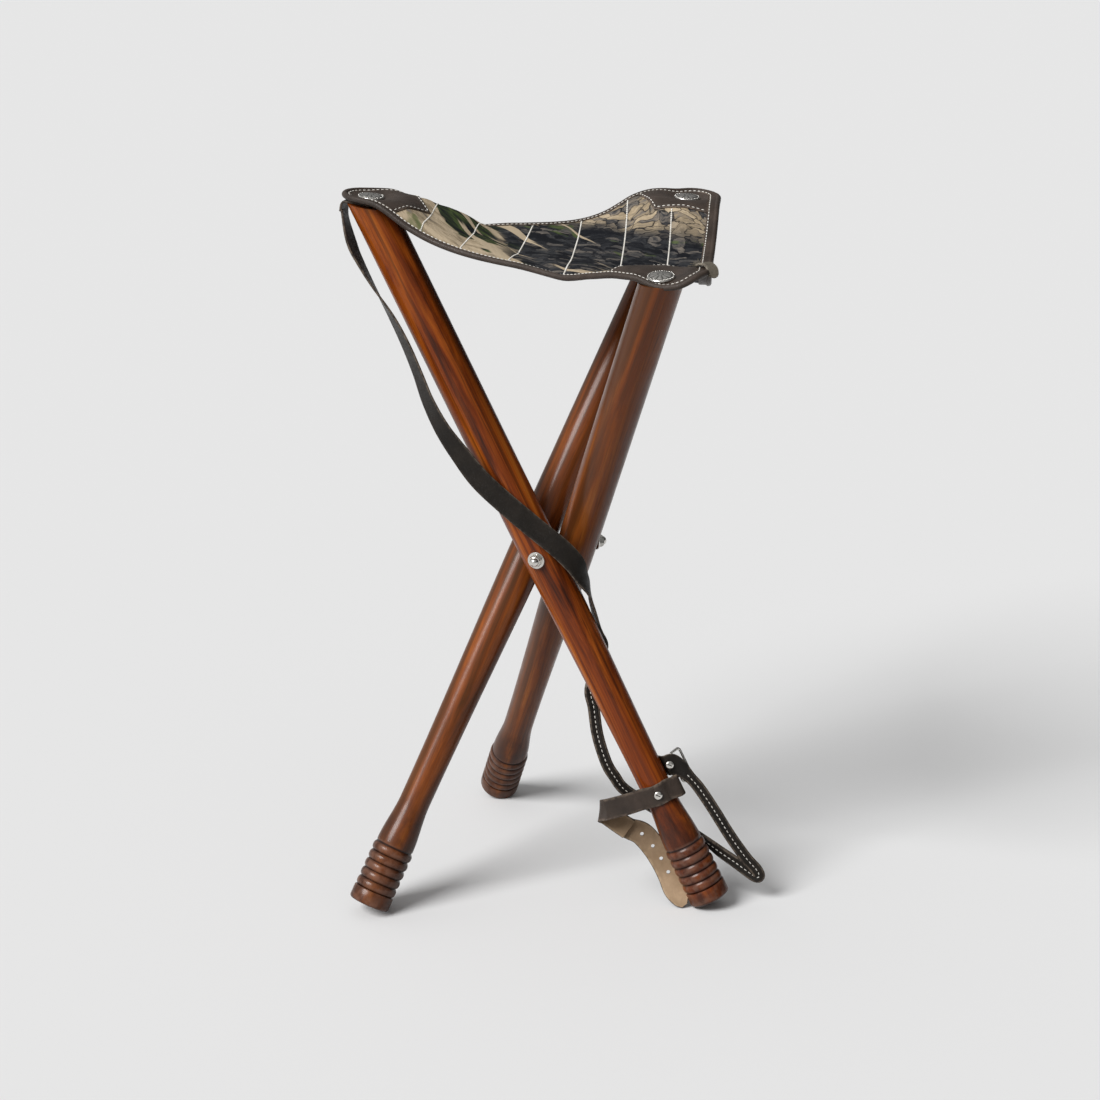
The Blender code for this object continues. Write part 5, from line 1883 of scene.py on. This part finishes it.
@dataclass
class RosetteScrew:
    """Domed ornamental screw head over one seat corner."""

    leg: LegName
    seat: Matrix
    radius: float = 0.0122
    height: float = 0.0036
    rim: float = 0.0008
    lip: float = 0.0002
    hollow: float = 0.002
    petals: int = 10
    carving: float = 0.0008
    window: tuple[Row, Row] = ((0.24, 0.10), (0.74, 0.10))
    grooves: tuple[Row, Row] = ((0.20, 0.035), (0.80, 0.03))
    shares: tuple[float, ...] = (0.03, 0.08, 0.13, 0.17, 0.20, 0.23, 0.28, 0.34, 0.41, 0.48, 0.55, 0.62, 0.69,
                                 0.74, 0.78, 0.80, 0.82, 0.85, 0.90, 0.95, 0.98)
    bead_reach: float = 0.90
    sides: int = 120
    sharp: float = 60.0

    def rise(self, reach: float, turn: float) -> tuple[float, float]:
        """Height of the face and how deep it lies in the pattern.

        Args:
            reach: distance from the middle.
            turn: angle round it.

        Returns:
            Height above the seat and recess mark.
        """
        share = reach / self.radius
        dome = self.rim + (self.height - self.rim) * math.sqrt(max(1.0 - share * share, 0.0))
        petal = abs(math.cos(self.petals * turn / 2.0)) ** 0.6
        inside, outside = (smooth((share - start) / width) for start, width in self.window)
        groove = sum(math.exp(-((share - middle) / width) ** 2) for middle, width in self.grooves)
        sink = 0.55 * (inside * (1.0 - outside)) * (1.0 - petal) + 0.45 * min(groove, 1.0)
        return dome - self.carving * sink, min(sink * 1.5, 1.0)

    def build(self) -> list[Object]:
        """Build the head and the beads on its rim.

        Returns:
            The head and the ring of beads.
        """
        turns = [2.0 * math.pi * i / self.sides for i in range(self.sides)]
        rings, marks = [], []
        for share in self.shares:
            reach = self.radius * share
            faces = [self.rise(reach, turn) for turn in turns]
            rings.append([Vector((reach * math.cos(t), reach * math.sin(t), rise))
                          for t, (rise, _) in zip(turns, faces)])
            marks += [sink for _, sink in faces]
        edge, lip = self.radius, self.lip
        for reach, rise in ((edge, self.rim), (edge, lip), (edge - lip, 0.0), (self.hollow, 0.0)):
            rings.append(circle(reach, rise, self.sides))
            marks += [0.0] * self.sides
        bm = loft(rings)
        mark(bm, "recess", marks)
        bm.transform(self.seat)
        name = self.leg.value
        head = piece("rosette_" + name, bm, [FINISHES.nickel], self.sharp)
        dressed(head, Slot.NICKEL, "rosette_screw_" + name)
        reach = self.bead_reach * self.radius
        facing = self.seat.to_3x3() @ Vector((0.0, 0.0, 1.0))
        line = [(self.seat @ point, facing) for point in circle(reach, self.rise(reach, 0.0)[0], self.sides)]
        beads = TREES.grow("rosette_beads_" + name, TREES.stitches, line_mesh([line], True), Pitch=0.0016,
                           Length=0.0012, Width=0.0012, Height=0.0009, Material=FINISHES.nickel)
        return [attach(made, self.leg.body) for made in (head, dressed(beads, Slot.NICKEL))]


# Straps

@dataclass
class StrapFrame:
    """Frame of leg a's straps: X to their front, Y to the side, Z up from the foot end."""

    leg: TurnedLeg
    front_turn: float = 22.0
    thickness: float = 0.0020

    @property
    def matrix(self) -> Matrix:
        """Frame in the stool."""
        turn = self.leg.stance.matrix @ Matrix.Rotation(math.radians(self.front_turn), 4, "Z")
        return turn @ Matrix.Translation((0.0, 0.0, -self.leg.foot_to_pivot))

    def point(self, front: float, side: float, station: float) -> Vector:
        """Point from its front, side and station."""
        return self.matrix @ Vector((front, side, station))

    def facing(self, front: float, side: float, up: float = 0.0) -> Vector:
        """Direction from its front, side and upward parts."""
        return (self.matrix.to_3x3() @ Vector((front, side, up))).normalized()

    def hug(self, angle: float, station: float, lift: float) -> tuple[Vector, Vector]:
        """Strap point that lies on the leg, with its direction.

        Args:
            angle: degrees from the front.
            station: height up the leg.
            lift: extra distance from the leg.

        Returns:
            The point and its outward direction.
        """
        reach = self.leg.radius(station) + GAP + self.thickness / 2 + lift
        front, side = math.cos(math.radians(angle)), math.sin(math.radians(angle))
        return self.point(reach * front, reach * side, station), self.facing(front, side)

    def run(self, rows: Sequence[Sequence[float]]) -> Line:
        """Free strap points from front, side, station and the parts of the direction."""
        return [(self.point(*row[:3]), self.facing(*row[3:])) for row in rows]


@dataclass
class Strap:
    """A leather strap along a smooth path, flat or folded double."""

    name: str
    route: Line
    widths: list[float]
    depths: list[float]
    back: Face = Face.FLESH
    hide: Hide = Hide.GRAIN
    steps: int = 6
    across: int = 9
    fold_depth: Row = (0.0024, 0.001)
    fold_valley: Row = (0.26, 0.0011)
    sewn_depth: float = 0.0034
    sewn_width: float = 0.0122
    sewn_share: float = 0.80
    sharp: float = 55.0

    def samples(self) -> list[tuple[Vector, Vector, Vector, Vector]]:
        """Centre, side direction, facing direction and size at each step along the strap.

        Returns:
            One row for each step.
        """
        points, normals = zip(*self.route)
        path, facing = spline(points, self.steps), spline(normals, self.steps)
        sizes = spline([Vector((w, d, 0.0)) for w, d in zip(self.widths, self.depths)], self.steps)
        found = []
        for i, (centre, normal, size) in enumerate(zip(path, facing, sizes)):
            tangent = (path[min(i + 1, len(path) - 1)] - path[max(i - 1, 0)]).normalized()
            side = tangent.cross(normal).normalized()
            found.append((centre, side, side.cross(tangent).normalized(), size))
        return found

    def section(self, width: float, depth: float) -> list[tuple[float, float, Face]]:
        """Section of the strap, counter-clockwise from its flesh side.

        Args:
            width: width of the strap.
            depth: thickness of the strap.

        Returns:
            Side distance, height and face of each point.
        """
        fold = smooth((depth - self.fold_depth[0]) / self.fold_depth[1])
        lip = min(depth * (0.30 + 0.18 * fold), depth / 2 * 0.98)
        flat, rows = width / 2 - lip, []
        for sign, kind in ((-1.0, self.back if fold < 0.5 else Face.GRAIN), (1.0, Face.GRAIN)):
            for i in range(self.across):
                u = sign * (flat - 2.0 * flat * i / (self.across - 1))
                valley = self.fold_valley[0] * fold * math.exp(-(u / self.fold_valley[1]) ** 2)
                rows.append((u, sign * depth / 2 * (1.0 - valley), kind))
            for i in range(4):
                turn = math.radians(18.0 + 90.0 * sign + 48.0 * i)
                rows.append((-sign * flat + lip * math.cos(turn), (depth / 2) * math.sin(turn), Face.EDGE))
        return rows

    def build(self) -> Object:
        """Skin the strap and mark its edges.

        Returns:
            The strap.
        """
        rings, faces, marks = [], [], []
        for centre, side, up, size in self.samples():
            rows = self.section(size.x, size.y)
            rings.append([centre + side * u + up * v for u, v, _ in rows])
            faces.append([face for _, _, face in rows])
        count = len(rings[0])
        for kinds in faces:
            for spot, face in enumerate(kinds):
                near = spot % (self.across + 4) in (0, self.across - 1)
                marks.append(1.0 if face is Face.EDGE else 0.8 if near else 0.0)
        bm = loft(rings)
        mark(bm, "edge", marks)
        for index, face in enumerate(bm.faces):
            ring, spot = divmod(index, count)
            if ring >= len(rings) - 1:
                face.material_index = Face.EDGE.value
                continue
            kinds = (faces[ring][spot], faces[ring][(spot + 1) % count])
            face.material_index = Face.EDGE.value if Face.EDGE in kinds else kinds[0].value
        return piece(self.name, bm, FINISHES.strap(self.hide), self.sharp)

    def stitches(self) -> Object:
        """Sew the folded part along its middle on both faces.

        Returns:
            The stitches.
        """
        lines = [[], []]
        for centre, _, up, size in self.samples():
            if size.y > self.sewn_depth and size.x < self.sewn_width:
                lines[0].append((centre + up * size.y / 2 * self.sewn_share, up))
                lines[1].append((centre - up * size.y / 2 * self.sewn_share, -up))
        return TREES.grow(self.name + "_stitches", TREES.stitches, line_mesh(lines), Pitch=0.0046,
                          Length=0.0031, Width=0.0009, Height=0.0007, Material=FINISHES.thread)


@dataclass
class CarryStrap:
    """Long strap from under the seat corner, round leg a, to its neck."""

    frame: StrapFrame
    width: float = 0.020
    thickness: float = 0.0020
    narrow_width: float = 0.0114
    narrow_thickness: float = 0.0036

    def route(self) -> tuple[Line, int, int]:
        """Path of the strap.

        Returns:
            The points with their directions, and how many are wide at the start and at the end.
        """
        leg = self.frame.leg
        level, upright = leg.top, Matrix.Rotation(-leg.stance.splay, 3, "X")
        out = leg.stance.matrix.to_3x3() @ upright @ Vector((0.0, -1.0, 0.0))
        up = Vector(leg.top_facing).normalized()
        out = (out - up * out.dot(up)).normalized()
        lie, edge = GAP + self.thickness / 2, leg.shaft_radius / math.cos(leg.stance.splay)
        over = ((-0.008, lie, 0.0), (0.008, lie, 0.0), (edge + 0.0004, lie, 0.1),
                (edge + 0.0030, lie - 0.0012, 0.5), (edge + 0.0043, lie - 0.0045, 0.9),
                (edge + 0.0036, lie - 0.0120, 1.0))
        start = [(level + out * reach + up * rise, (up * (1.0 - lean) + out * lean).normalized())
                 for reach, rise, lean in over]
        top, pivot = leg.length, leg.foot_to_pivot
        hang = self.frame.run([
            (0.001, -0.0306, top - 0.0233, -0.37, -0.93), (0.003, -0.0313, top - 0.0408, -0.28, -0.96),
            (0.005, -0.0303, top - 0.0650, -0.10, -0.99), (0.008, -0.0275, top - 0.0985, 0.22, -0.98),
            (0.010, -0.0272, top - 0.1265, 0.34, -0.94), (0.012, -0.0289, top - 0.1535, 0.40, -0.92),
            (0.0145, -0.0315, top - 0.1800, 0.52, -0.85), (0.0175, -0.0310, top - 0.2080, 0.68, -0.73)])
        cross = self.frame.run([
            (0.0195, -0.0267, pivot + 0.1180, 0.85, -0.50), (0.0212, -0.0205, pivot + 0.0890, 0.96, -0.25),
            (0.0222, -0.0090, pivot + 0.0590, 1.0, -0.10), (0.0218, 0.0030, pivot + 0.0315, 0.99, 0.06),
            (0.0215, 0.0167, pivot + 0.0016, 0.99, 0.10), (0.0190, 0.0231, pivot - 0.0184, 0.93, 0.36),
            (0.0150, 0.0240, pivot - 0.0319, 0.70, 0.71), (0.0075, 0.0248, pivot - 0.0463, 0.34, 0.94),
            (-0.0030, 0.0210, pivot - 0.0630, 0.0, 1.0), (-0.0125, 0.0172, pivot - 0.0830, -0.12, 0.99)])
        behind = self.frame.run([
            (-0.0195, 0.0125, pivot - 0.1000, -0.62, 0.78), (-0.0212, 0.0020, pivot - 0.1180, -0.95, 0.30),
            (-0.0205, -0.0150, pivot - 0.1365, -1.0, -0.1)])
        loop = self.frame.run([
            (-0.0185, -0.0196, 0.208, -1.0, -0.1), (-0.0160, -0.0277, 0.183, -1.0, 0.0),
            (-0.0150, -0.0317, 0.156, -1.0, 0.0), (-0.0165, -0.0305, 0.140, -1.0, 0.0),
            (-0.0190, -0.0268, 0.123, -1.0, 0.0), (-0.0222, -0.0071, 0.090, -0.95, 0.3),
            (-0.0164, 0.0180, 0.050, -0.67, 0.74), (-0.0105, 0.0273, 0.033, -0.90, 0.45),
            (-0.0068, 0.0360, 0.018, -0.97, 0.25), (-0.0050, 0.0455, 0.000, -1.0, 0.1),
            (-0.0040, 0.0497, -0.003, -1.0, 0.0), (-0.0030, 0.0503, 0.004, -1.0, 0.0),
            (-0.0018, 0.0463, 0.019, -1.0, 0.0), (-0.0008, 0.0420, 0.045, -1.0, 0.0),
            (0.0, 0.0390, 0.0740, -1.0, 0.0)])
        end = self.frame.run([
            (0.0, 0.0358, 0.0980, -1.0, 0.0), (0.0, 0.0322, 0.1120, -1.0, 0.0),
            (0.0, 0.0278, 0.1240, -1.0, 0.0), (0.0002, 0.0228, 0.1305, -1.0, 0.0),
            (0.0008, 0.0182, 0.1318, -0.9, 0.4)])
        end += [self.frame.hug(angle, station, 0.0003) for angle, station in (
            (102, 0.1322), (126, 0.1326), (152, 0.1330), (180, 0.1335), (208, 0.1340))]
        # It narrows one point past the crossing, and widens two points into its end
        wide = len(start + hang + cross) + 1
        return start + hang + cross + behind + loop + end, wide, len(end) - 2

    def build(self) -> list[Object]:
        """Build the strap and its stitches.

        Returns:
            The strap and the stitches.
        """
        route, first, last = self.route()
        middle = len(route) - first - last
        widths, depths = ([wide] * first + [narrow] * middle + [wide] * last for wide, narrow in (
            (self.width, self.narrow_width), (self.thickness, self.narrow_thickness)))
        widths[first + middle] = (self.width + self.narrow_width) / 2
        strap = Strap("carry_strap_leather", route, widths, depths, Face.GRAIN, Hide.DARK)
        made = [dressed(strap.build(), Slot.LEATHER, "carry_strap"), dressed(strap.stitches(), Slot.LEATHER)]
        return [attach(one, LegName.A.body) for one in made]


@dataclass
class ClosingStrap:
    """Band screwed round the neck of leg a, and its holed tail."""

    frame: StrapFrame
    width: float = 0.020
    thickness: float = 0.0020
    tip_width: float = 0.007
    hole_radius: float = 0.0018
    hole_stations: tuple[float, ...] = (0.082, 0.0665, 0.052, 0.038)
    station: float = 0.114
    roll_middle: Triple = (0.0088, -0.0497, 0.1190)
    roll_radius: float = 0.0072
    roll_lean: float = 31.0
    roll_pitch: float = 20.0

    def band_route(self) -> Line:
        """Curled end, round the front of the leg, out to a fold and back.

        Returns:
            The points with their directions.
        """
        z = self.station
        curl = self.frame.run([
            (0.0062, 0.0172, z - 0.002, -0.9, -0.4), (0.0043, 0.0196, z - 0.002, -0.95, 0.3),
            (0.0064, 0.0216, z - 0.002, 0.1, 1.0), (0.0097, 0.0187, z - 0.002, 0.75, 0.66)])
        front = [self.frame.hug(angle, z, 0.0002) for angle in (36, 18, 0, -18)]
        out = self.frame.run([
            (0.0160, -0.0170, z + 0.003, 1.0, 0.1), (0.0168, -0.0300, z + 0.005, 1.0, 0.05), *self.roll(),
            (0.0003, -0.0459, z - 0.010, -1.0, 0.0), (-0.0008, -0.0400, z - 0.021, -1.0, 0.0)])
        return curl + front + out

    def roll(self) -> list[tuple[float, ...]]:
        """Rows of the slanting roll in which the band turns back.

        Returns:
            Front, side, station and parts of the direction of each point.
        """
        lean, rows = math.radians(self.roll_lean), []
        left = Vector((0.0, -math.cos(lean), math.sin(lean)))
        down = Vector((0.0, -math.sin(lean), -math.cos(lean)))
        for degrees in range(0, 181, 30):
            turn = math.radians(degrees)
            facing = Vector((math.cos(turn), 0.0, 0.0)) + left * math.sin(turn)
            slide = (turn - math.pi / 2) * math.tan(math.radians(self.roll_pitch))
            rows.append((*(Vector(self.roll_middle) + self.roll_radius * (facing + down * slide)), *facing))
        return rows

    def tail_widths(self, count: int) -> list[float]:
        """Widths of the tail, full to near its point."""
        return [self.width] * 2 + [self.width * 1.12] * (count - 4) + [self.width * 0.8, self.tip_width]

    def tail_route(self) -> Line:
        """From the lap behind the band down to the point beside the foot."""
        return self.frame.run([
            (-0.0034, -0.0466, 0.1045, -1.0, -0.1), (-0.0054, -0.0400, 0.0930, -1.0, 0.0),
            (-0.0070, -0.0310, 0.0822, -1.0, 0.0), (-0.0095, -0.0265, 0.0645, -1.0, 0.0),
            (-0.0095, -0.0248, 0.0485, -1.0, 0.0), (-0.0080, -0.0248, 0.0345, -1.0, 0.0),
            (-0.0030, -0.0258, 0.0210, -1.0, 0.0), (0.0020, -0.0255, 0.0110, -1.0, 0.0),
            (0.0040, -0.0246, 0.0054, -1.0, 0.0)])

    def build(self) -> list[Object]:
        """Build the band and the tail.

        Returns:
            The two straps.
        """
        band, tail = self.band_route(), self.tail_route()
        made = []
        for node, route, widths in (("closing_band", band, [self.width] * len(band)),
                                    ("closing_tail", tail, self.tail_widths(len(tail)))):
            strap = Strap(node + "_leather", route, widths, [self.thickness] * len(route)).build()
            made.append(dressed(strap, Slot.LEATHER, node))
        cutters, back = [], self.frame.matrix.inverted()
        path = spline([point for point, _ in tail], 24)
        for station in self.hole_stations:
            centre = min(path, key=lambda point: abs((back @ point).z - station))
            hole = lathe([(-self.width / 2, self.hole_radius), (self.width / 2, self.hole_radius)], 20)
            hole.transform(frame_on(centre, self.frame.facing(1.0, 0.0)))
            cutters.append(hole)
        carve(made[1], cutters, Strap.sharp)
        return [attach(one, LegName.A.body) for one in made]


@dataclass
class StrapHardware:
    """Screw of the closing band, and the buckle with its tab, prong and rivet."""

    frame: StrapFrame
    thickness: float = 0.0020
    width: float = 0.020
    band_station: float = 0.114
    screw_turn: float = -5.0
    screw_radius: float = 0.0039
    screw_height: float = 0.0018
    shank_radius: float = 0.0015
    shank_length: float = 0.011
    buckle_station: float = 0.124
    buckle_lean: float = -42.0
    bar_side: float = 0.0250
    buckle_length: float = 0.030
    buckle_reach: float = 0.0135
    wire: float = 0.0013
    prong: float = 0.0010
    eye_width: float = 0.0024
    overhang: float = 0.0012
    tab_station: float = 0.126
    tab_length: float = 0.0066
    rivet_side: float = 0.0204
    rivet_station: float = 0.1315
    rivet_radius: float = 0.0038
    rivet_height: float = 0.0013
    recess_turn: float = 0.4
    sharp: float = 35.0

    def head(self, radius: float, height: float) -> list[Row]:
        """Profile of a rounded pan head from its seat up.

        Args:
            radius: head radius.
            height: head height.

        Returns:
            Heights and radii.
        """
        turns = [math.radians(a) for a in (0, 20, 40, 60, 75, 90)]
        rows = [(height * (0.35 + 0.65 * math.sin(t)), radius * (0.30 + 0.70 * math.cos(t))) for t in turns]
        return [(0.0, radius * 0.97), (height * 0.12, radius), *rows]

    def cross(self, place: Matrix, radius: float, height: float) -> list[BMesh]:
        """Cutters of the cross recess in the top of a head.

        Args:
            place: frame of the head.
            radius: head radius.
            height: head height.

        Returns:
            The two bars.
        """
        cutters = []
        for turn in (0.0, math.pi / 2):
            level = Matrix.Rotation(turn + self.recess_turn, 4, "Z") @ Matrix.Translation((0.0, 0.0, height))
            cutters.append(box(level, (radius * 1.15, radius * 0.26, height * 1.1)))
            cutters[-1].transform(place)
        return cutters

    def build_head(self, name: str, node: str, place: Matrix, shank: list[Row], size: Row) -> Object:
        """Screw or rivet with a cross recess in its head.

        Args:
            name: name of the piece.
            node: solid that the piece stands for.
            place: frame with Z out of the head and its seat at the origin.
            shank: profile below the head.
            size: radius and height of the head.

        Returns:
            The screw.
        """
        radius, height = size
        bm = lathe(shank + self.head(radius, height), 40)
        bm.transform(place)
        made = piece(name, bm, [FINISHES.nickel], self.sharp)
        carve(made, self.cross(place, radius, height), self.sharp)
        seat, out = place.translation, place.to_3x3() @ Vector((0.0, 0.0, 1.0))
        layer = made.data.attributes.new("recess", "FLOAT", "POINT")
        marks = []
        for vertex in made.data.vertices:
            offset = vertex.co - seat
            rise = offset.dot(out)
            reach = (offset - out * rise).length
            marks.append(0.9 if height * 0.2 < rise < height * 0.75 and reach < radius * 0.62 else 0.0)
        layer.data.foreach_set("value", marks)
        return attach(dressed(made, Slot.NICKEL, node), LegName.A.body)

    def build_screws(self) -> list[Object]:
        """Band screw and tab rivet.

        Returns:
            The two fasteners.
        """
        turn, thin, sliver = math.radians(self.screw_turn), self.shank_radius, 0.00002
        out = self.frame.facing(math.cos(turn), math.sin(turn))
        seat = 2 * GAP + self.thickness + 0.0002 + GAP
        reach = self.frame.leg.radius(self.band_station) + seat
        surface = self.frame.point(0.0, 0.0, self.band_station) + out * reach
        end = -self.shank_length - seat
        shank = [(end, thin * 0.4), (end + 0.003, thin), (-sliver, thin)]
        screw = self.build_head("band_screw", "strap_screw", frame_on(surface, out), shank,
                                (self.screw_radius, self.screw_height))
        front, back = self.thickness / 2 + 4 * GAP, self.layers()[2] - self.thickness / 2 - 2 * GAP
        span, wide, high = front - back, self.rivet_radius, self.rivet_height
        shank = [(-span - high, wide * 0.6), (-span - high * 0.4, wide * 0.9), (-span, wide),
                 (-span + sliver, thin), (-sliver, thin)]
        rivet = self.build_head("tab_rivet_head", "tab_rivet", self.rivet_frame(front), shank, (wide, high))
        return [screw, rivet]

    def rivet_frame(self, front: float) -> Matrix:
        """Frame on the rivet at a distance to the front, Z to the front."""
        spot = self.frame.point(front, self.rivet_side, self.rivet_station)
        return frame_on(spot, self.frame.facing(1.0, 0.0))

    def layers(self) -> Triple:
        """Front distances of the tab's front leaf, the buckle bar and the tab's back leaf.

        Returns:
            The three distances.
        """
        leaf = -self.thickness - 4 * GAP
        fold = self.wire + GAP + self.thickness / 2
        return leaf, leaf - fold, leaf - 2 * fold

    def bar(self) -> Matrix:
        """Frame on the middle of the buckle bar, X to the front, Z along the bar."""
        return self.frame.matrix @ Matrix.Translation((self.layers()[1], self.bar_side, self.buckle_station))

    def build_tab(self) -> Object:
        """Leather tab folded round the buckle bar, slotted for the prong.

        Returns:
            The tab.
        """
        front, middle, back = self.layers()
        fold, z, side = front - middle, self.tab_station, self.bar_side
        rows = [(front, side - self.tab_length * share, z, 1.0, 0.0) for share in (1.0, 0.5)]
        for turn in (math.radians(30.0 * step) for step in range(7)):
            rows.append((middle + fold * math.cos(turn), side + fold * math.sin(turn), z, math.cos(turn),
                         math.sin(turn)))
        rows += [(back, side - self.tab_length * share, z, -1.0, 0.0) for share in (0.5, 1.0)]
        count = len(rows)
        made = Strap("buckle_tab_leather", self.frame.run(rows), [self.width] * count,
                     [self.thickness] * count, steps=4).build()
        low, high = -(self.wire + 2 * self.prong) - GAP, fold + self.thickness
        slot = box(self.bar() @ Matrix.Translation((0.0, (low + high) / 2, 0.0)),
                   (4 * fold, high - low, self.eye_width + 2 * GAP))
        bore = lathe([(-self.width, self.shank_radius + GAP), (self.width, self.shank_radius + GAP)], 20)
        bore.transform(self.rivet_frame(0.0))
        carve(made, [slot, bore], Strap.sharp)
        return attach(dressed(made, Slot.LEATHER, "buckle_tab"), LegName.A.body)

    def build_buckle(self) -> list[Object]:
        """Wire frame and its prong.

        Returns:
            The frame and the prong.
        """
        bend, half, reach = 2.5 * self.wire, self.buckle_length / 2, self.buckle_reach
        bar = self.bar() @ Matrix.Rotation(math.radians(-self.buckle_lean), 4, "Z")
        line = []
        for along, across, start in ((half - bend, reach - bend, 0.0), (half - bend, bend, 270.0),
                                     (-half + bend, bend, 180.0), (-half + bend, reach - bend, 90.0)):
            for step in range(9):
                turn = math.radians(start + 90.0 - 90.0 * step / 8.0)
                spot = Vector((0.0, across + bend * math.sin(turn), along + bend * math.cos(turn)))
                line.append((bar @ spot, self.frame.facing(1.0, 0.0)))
        ring = TREES.grow("buckle_wire", TREES.tube, line_mesh([line], True), Radius=self.wire, Sides=16,
                          Material=FINISHES.nickel)
        eye = self.wire + GAP + self.prong
        turns = [math.radians(a) for a in range(-150, 95, 12)][::-1]
        path = [Vector((eye * math.cos(turn), eye * math.sin(turn), 0.0)) for turn in turns]
        path += [Vector((-eye, 0.0005, 0.0)), Vector((-eye, reach * 0.5, 0.0)),
                 Vector((-eye - GAP, reach + self.overhang - self.prong, 0.0))]
        shaft = [(bar @ point, self.frame.facing(0.0, 1.0)) for point in spline(path, 4)]
        tongue = TREES.grow("buckle_tongue", TREES.tube, line_mesh([shaft]), Radius=self.prong, Sides=14,
                            Material=FINISHES.nickel)
        return [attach(dressed(ring, Slot.NICKEL, "buckle_frame"), LegName.A.body),
                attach(dressed(tongue, Slot.NICKEL, "buckle_prong"), "prong")]

    def build(self) -> list[Object]:
        """Build all the strap hardware."""
        return [*self.build_screws(), self.build_tab(), *self.build_buckle()]


# Studio

@dataclass
class Studio:
    """Pale floor, soft light and the camera."""

    target: Vector
    tilt: float = 17.09
    distance: float = 2.5624
    focal: float = 2770.0
    frame_size: float = 1100.0
    floor_colour: Colour = (0.743, 0.743, 0.743)
    floor_shade: Colour = (0.74, 0.74, 0.74)
    floor_bounce: Colour = (0.16, 0.155, 0.15)
    floor_reach: float = 40.0
    dim_sky: float = 0.03
    bright_sky: float = 0.50
    sky_way: Triple = (-0.80, -0.25, 0.55)
    key: float = 3.3
    key_way: Triple = (0.72, 0.62, -0.85)
    key_spread: float = 30.0
    sensor: float = 36.0

    def build_floor(self) -> Object:
        """Wide pale floor that throws little light back on the stool.

        Returns:
            The floor.
        """
        bm = bmesh.new()
        bmesh.ops.create_grid(bm, x_segments=8, y_segments=8, size=self.floor_reach)
        material, board, shader = new_material("studio_floor", specular=0.0)
        place = board.place()
        pale = board.mix(board.mottled(place, 0.7, 0.0, 0.02), self.floor_colour, self.floor_shade)
        rays = board.add("ShaderNodeLightPath").outputs
        seen = rays["Is Camera Ray"]
        for ray in ("Is Glossy Ray", "Is Transmission Ray"):
            seen = board.value("ShaderNodeMath", {0: seen, 1: rays[ray]}, operation="MAXIMUM")
        wire(board, shader, board.mix(seen, self.floor_bounce, pale), board.mottled(place, 3.0, 0.85, 0.95))
        made = piece("floor", bm, [material], turn_out=False)
        return made

    def build_light(self) -> None:
        """Sky that is brighter on the left, and a soft key from the left front."""
        world = bpy.data.worlds.new("studio")
        world.use_nodes = True
        board = Board(world.node_tree)
        back = world.node_tree.nodes["Background"]
        ray = board.value("ShaderNodeTexCoord", None, "Generated")
        side = board.value("ShaderNodeVectorMath", {0: ray, 1: self.sky_way}, "Value",
                           operation="DOT_PRODUCT")
        strength = board.between(side, -0.7, 0.8, self.dim_sky, self.bright_sky)
        back.inputs["Color"].default_value = (1.0, 1.0, 1.0, 1.0)
        world.node_tree.links.new(strength, back.inputs["Strength"])
        bpy.context.scene.world = world
        sun = bpy.data.lights.new("key", "SUN")
        sun.energy, sun.angle = self.key, math.radians(self.key_spread)
        lamp = bpy.data.objects.new("key", sun)
        lamp.rotation_euler = Vector(self.key_way).to_track_quat("-Z", "Y").to_euler()
        bpy.context.scene.collection.objects.link(lamp)

    def build_camera(self) -> Object:
        """Camera at the photograph's angle.

        Returns:
            The camera.
        """
        tilt = math.radians(self.tilt)
        lens = bpy.data.cameras.new("camera")
        lens.sensor_width = self.sensor
        lens.lens = self.focal / self.frame_size * self.sensor
        camera = bpy.data.objects.new("camera", lens)
        camera.location = self.target + self.distance * Vector((0.0, -math.cos(tilt), math.sin(tilt)))
        camera.rotation_euler = (math.pi / 2 - tilt, 0.0, 0.0)
        bpy.context.scene.collection.objects.link(camera)
        bpy.context.scene.camera = camera
        return camera

    def build(self) -> None:
        """Set the scene."""
        bpy.context.scene.view_settings.view_transform = "Standard"
        self.build_floor()
        self.build_light()
        self.build_camera()


def main() -> None:
    """Build the stool's pieces in order and report each one."""
    logging.basicConfig(level=logging.INFO, format="%(message)s")
    stances = Stance.read()
    lengths, tones = per_leg(0.7135, 0.720, 0.718), per_leg(0.0, 0.34, 0.38)
    legs = {leg: TurnedLeg(stance, length=lengths[leg], tone=tones[leg]) for leg, stance in stances.items()}
    stacks = per_leg(0.0047, 0.0024, 0.0024)
    shape = SeatShape({leg: turned.top for leg, turned in legs.items()}, stacks)
    for leg, turned in legs.items():
        lean = shape.pads[leg].lean
        turned.top_facing = (-lean[0], -lean[1], 1.0)
    stud_offset, target_shift, target_height = 0.0265, 0.0003, 0.3255
    hub = stances[LegName.A].pivot - stud_offset * stances[LegName.A].axis
    Studio(Vector((hub.x - target_shift, hub.y, target_height))).build()
    made = [leg.build() for leg in legs.values()]
    made += BoltSet(legs).build()
    seat = SlingSeat(shape)
    made += seat.build() + BindingEnd(shape).build()
    screw_lift = seat.top + 0.0001
    for leg in LEGS:
        spot = legs[leg].top.xy
        made += RosetteScrew(leg, frame_on(shape.on(spot, screw_lift), shape.normal(spot))).build()
    straps = StrapFrame(legs[LegName.A])
    for strapped in (CarryStrap(straps), ClosingStrap(straps), StrapHardware(straps)):
        made += strapped.build()
    for one in made:
        log.info("%s: %d faces", one.name, len(one.data.polygons))


if __name__ == "__main__":
    main()
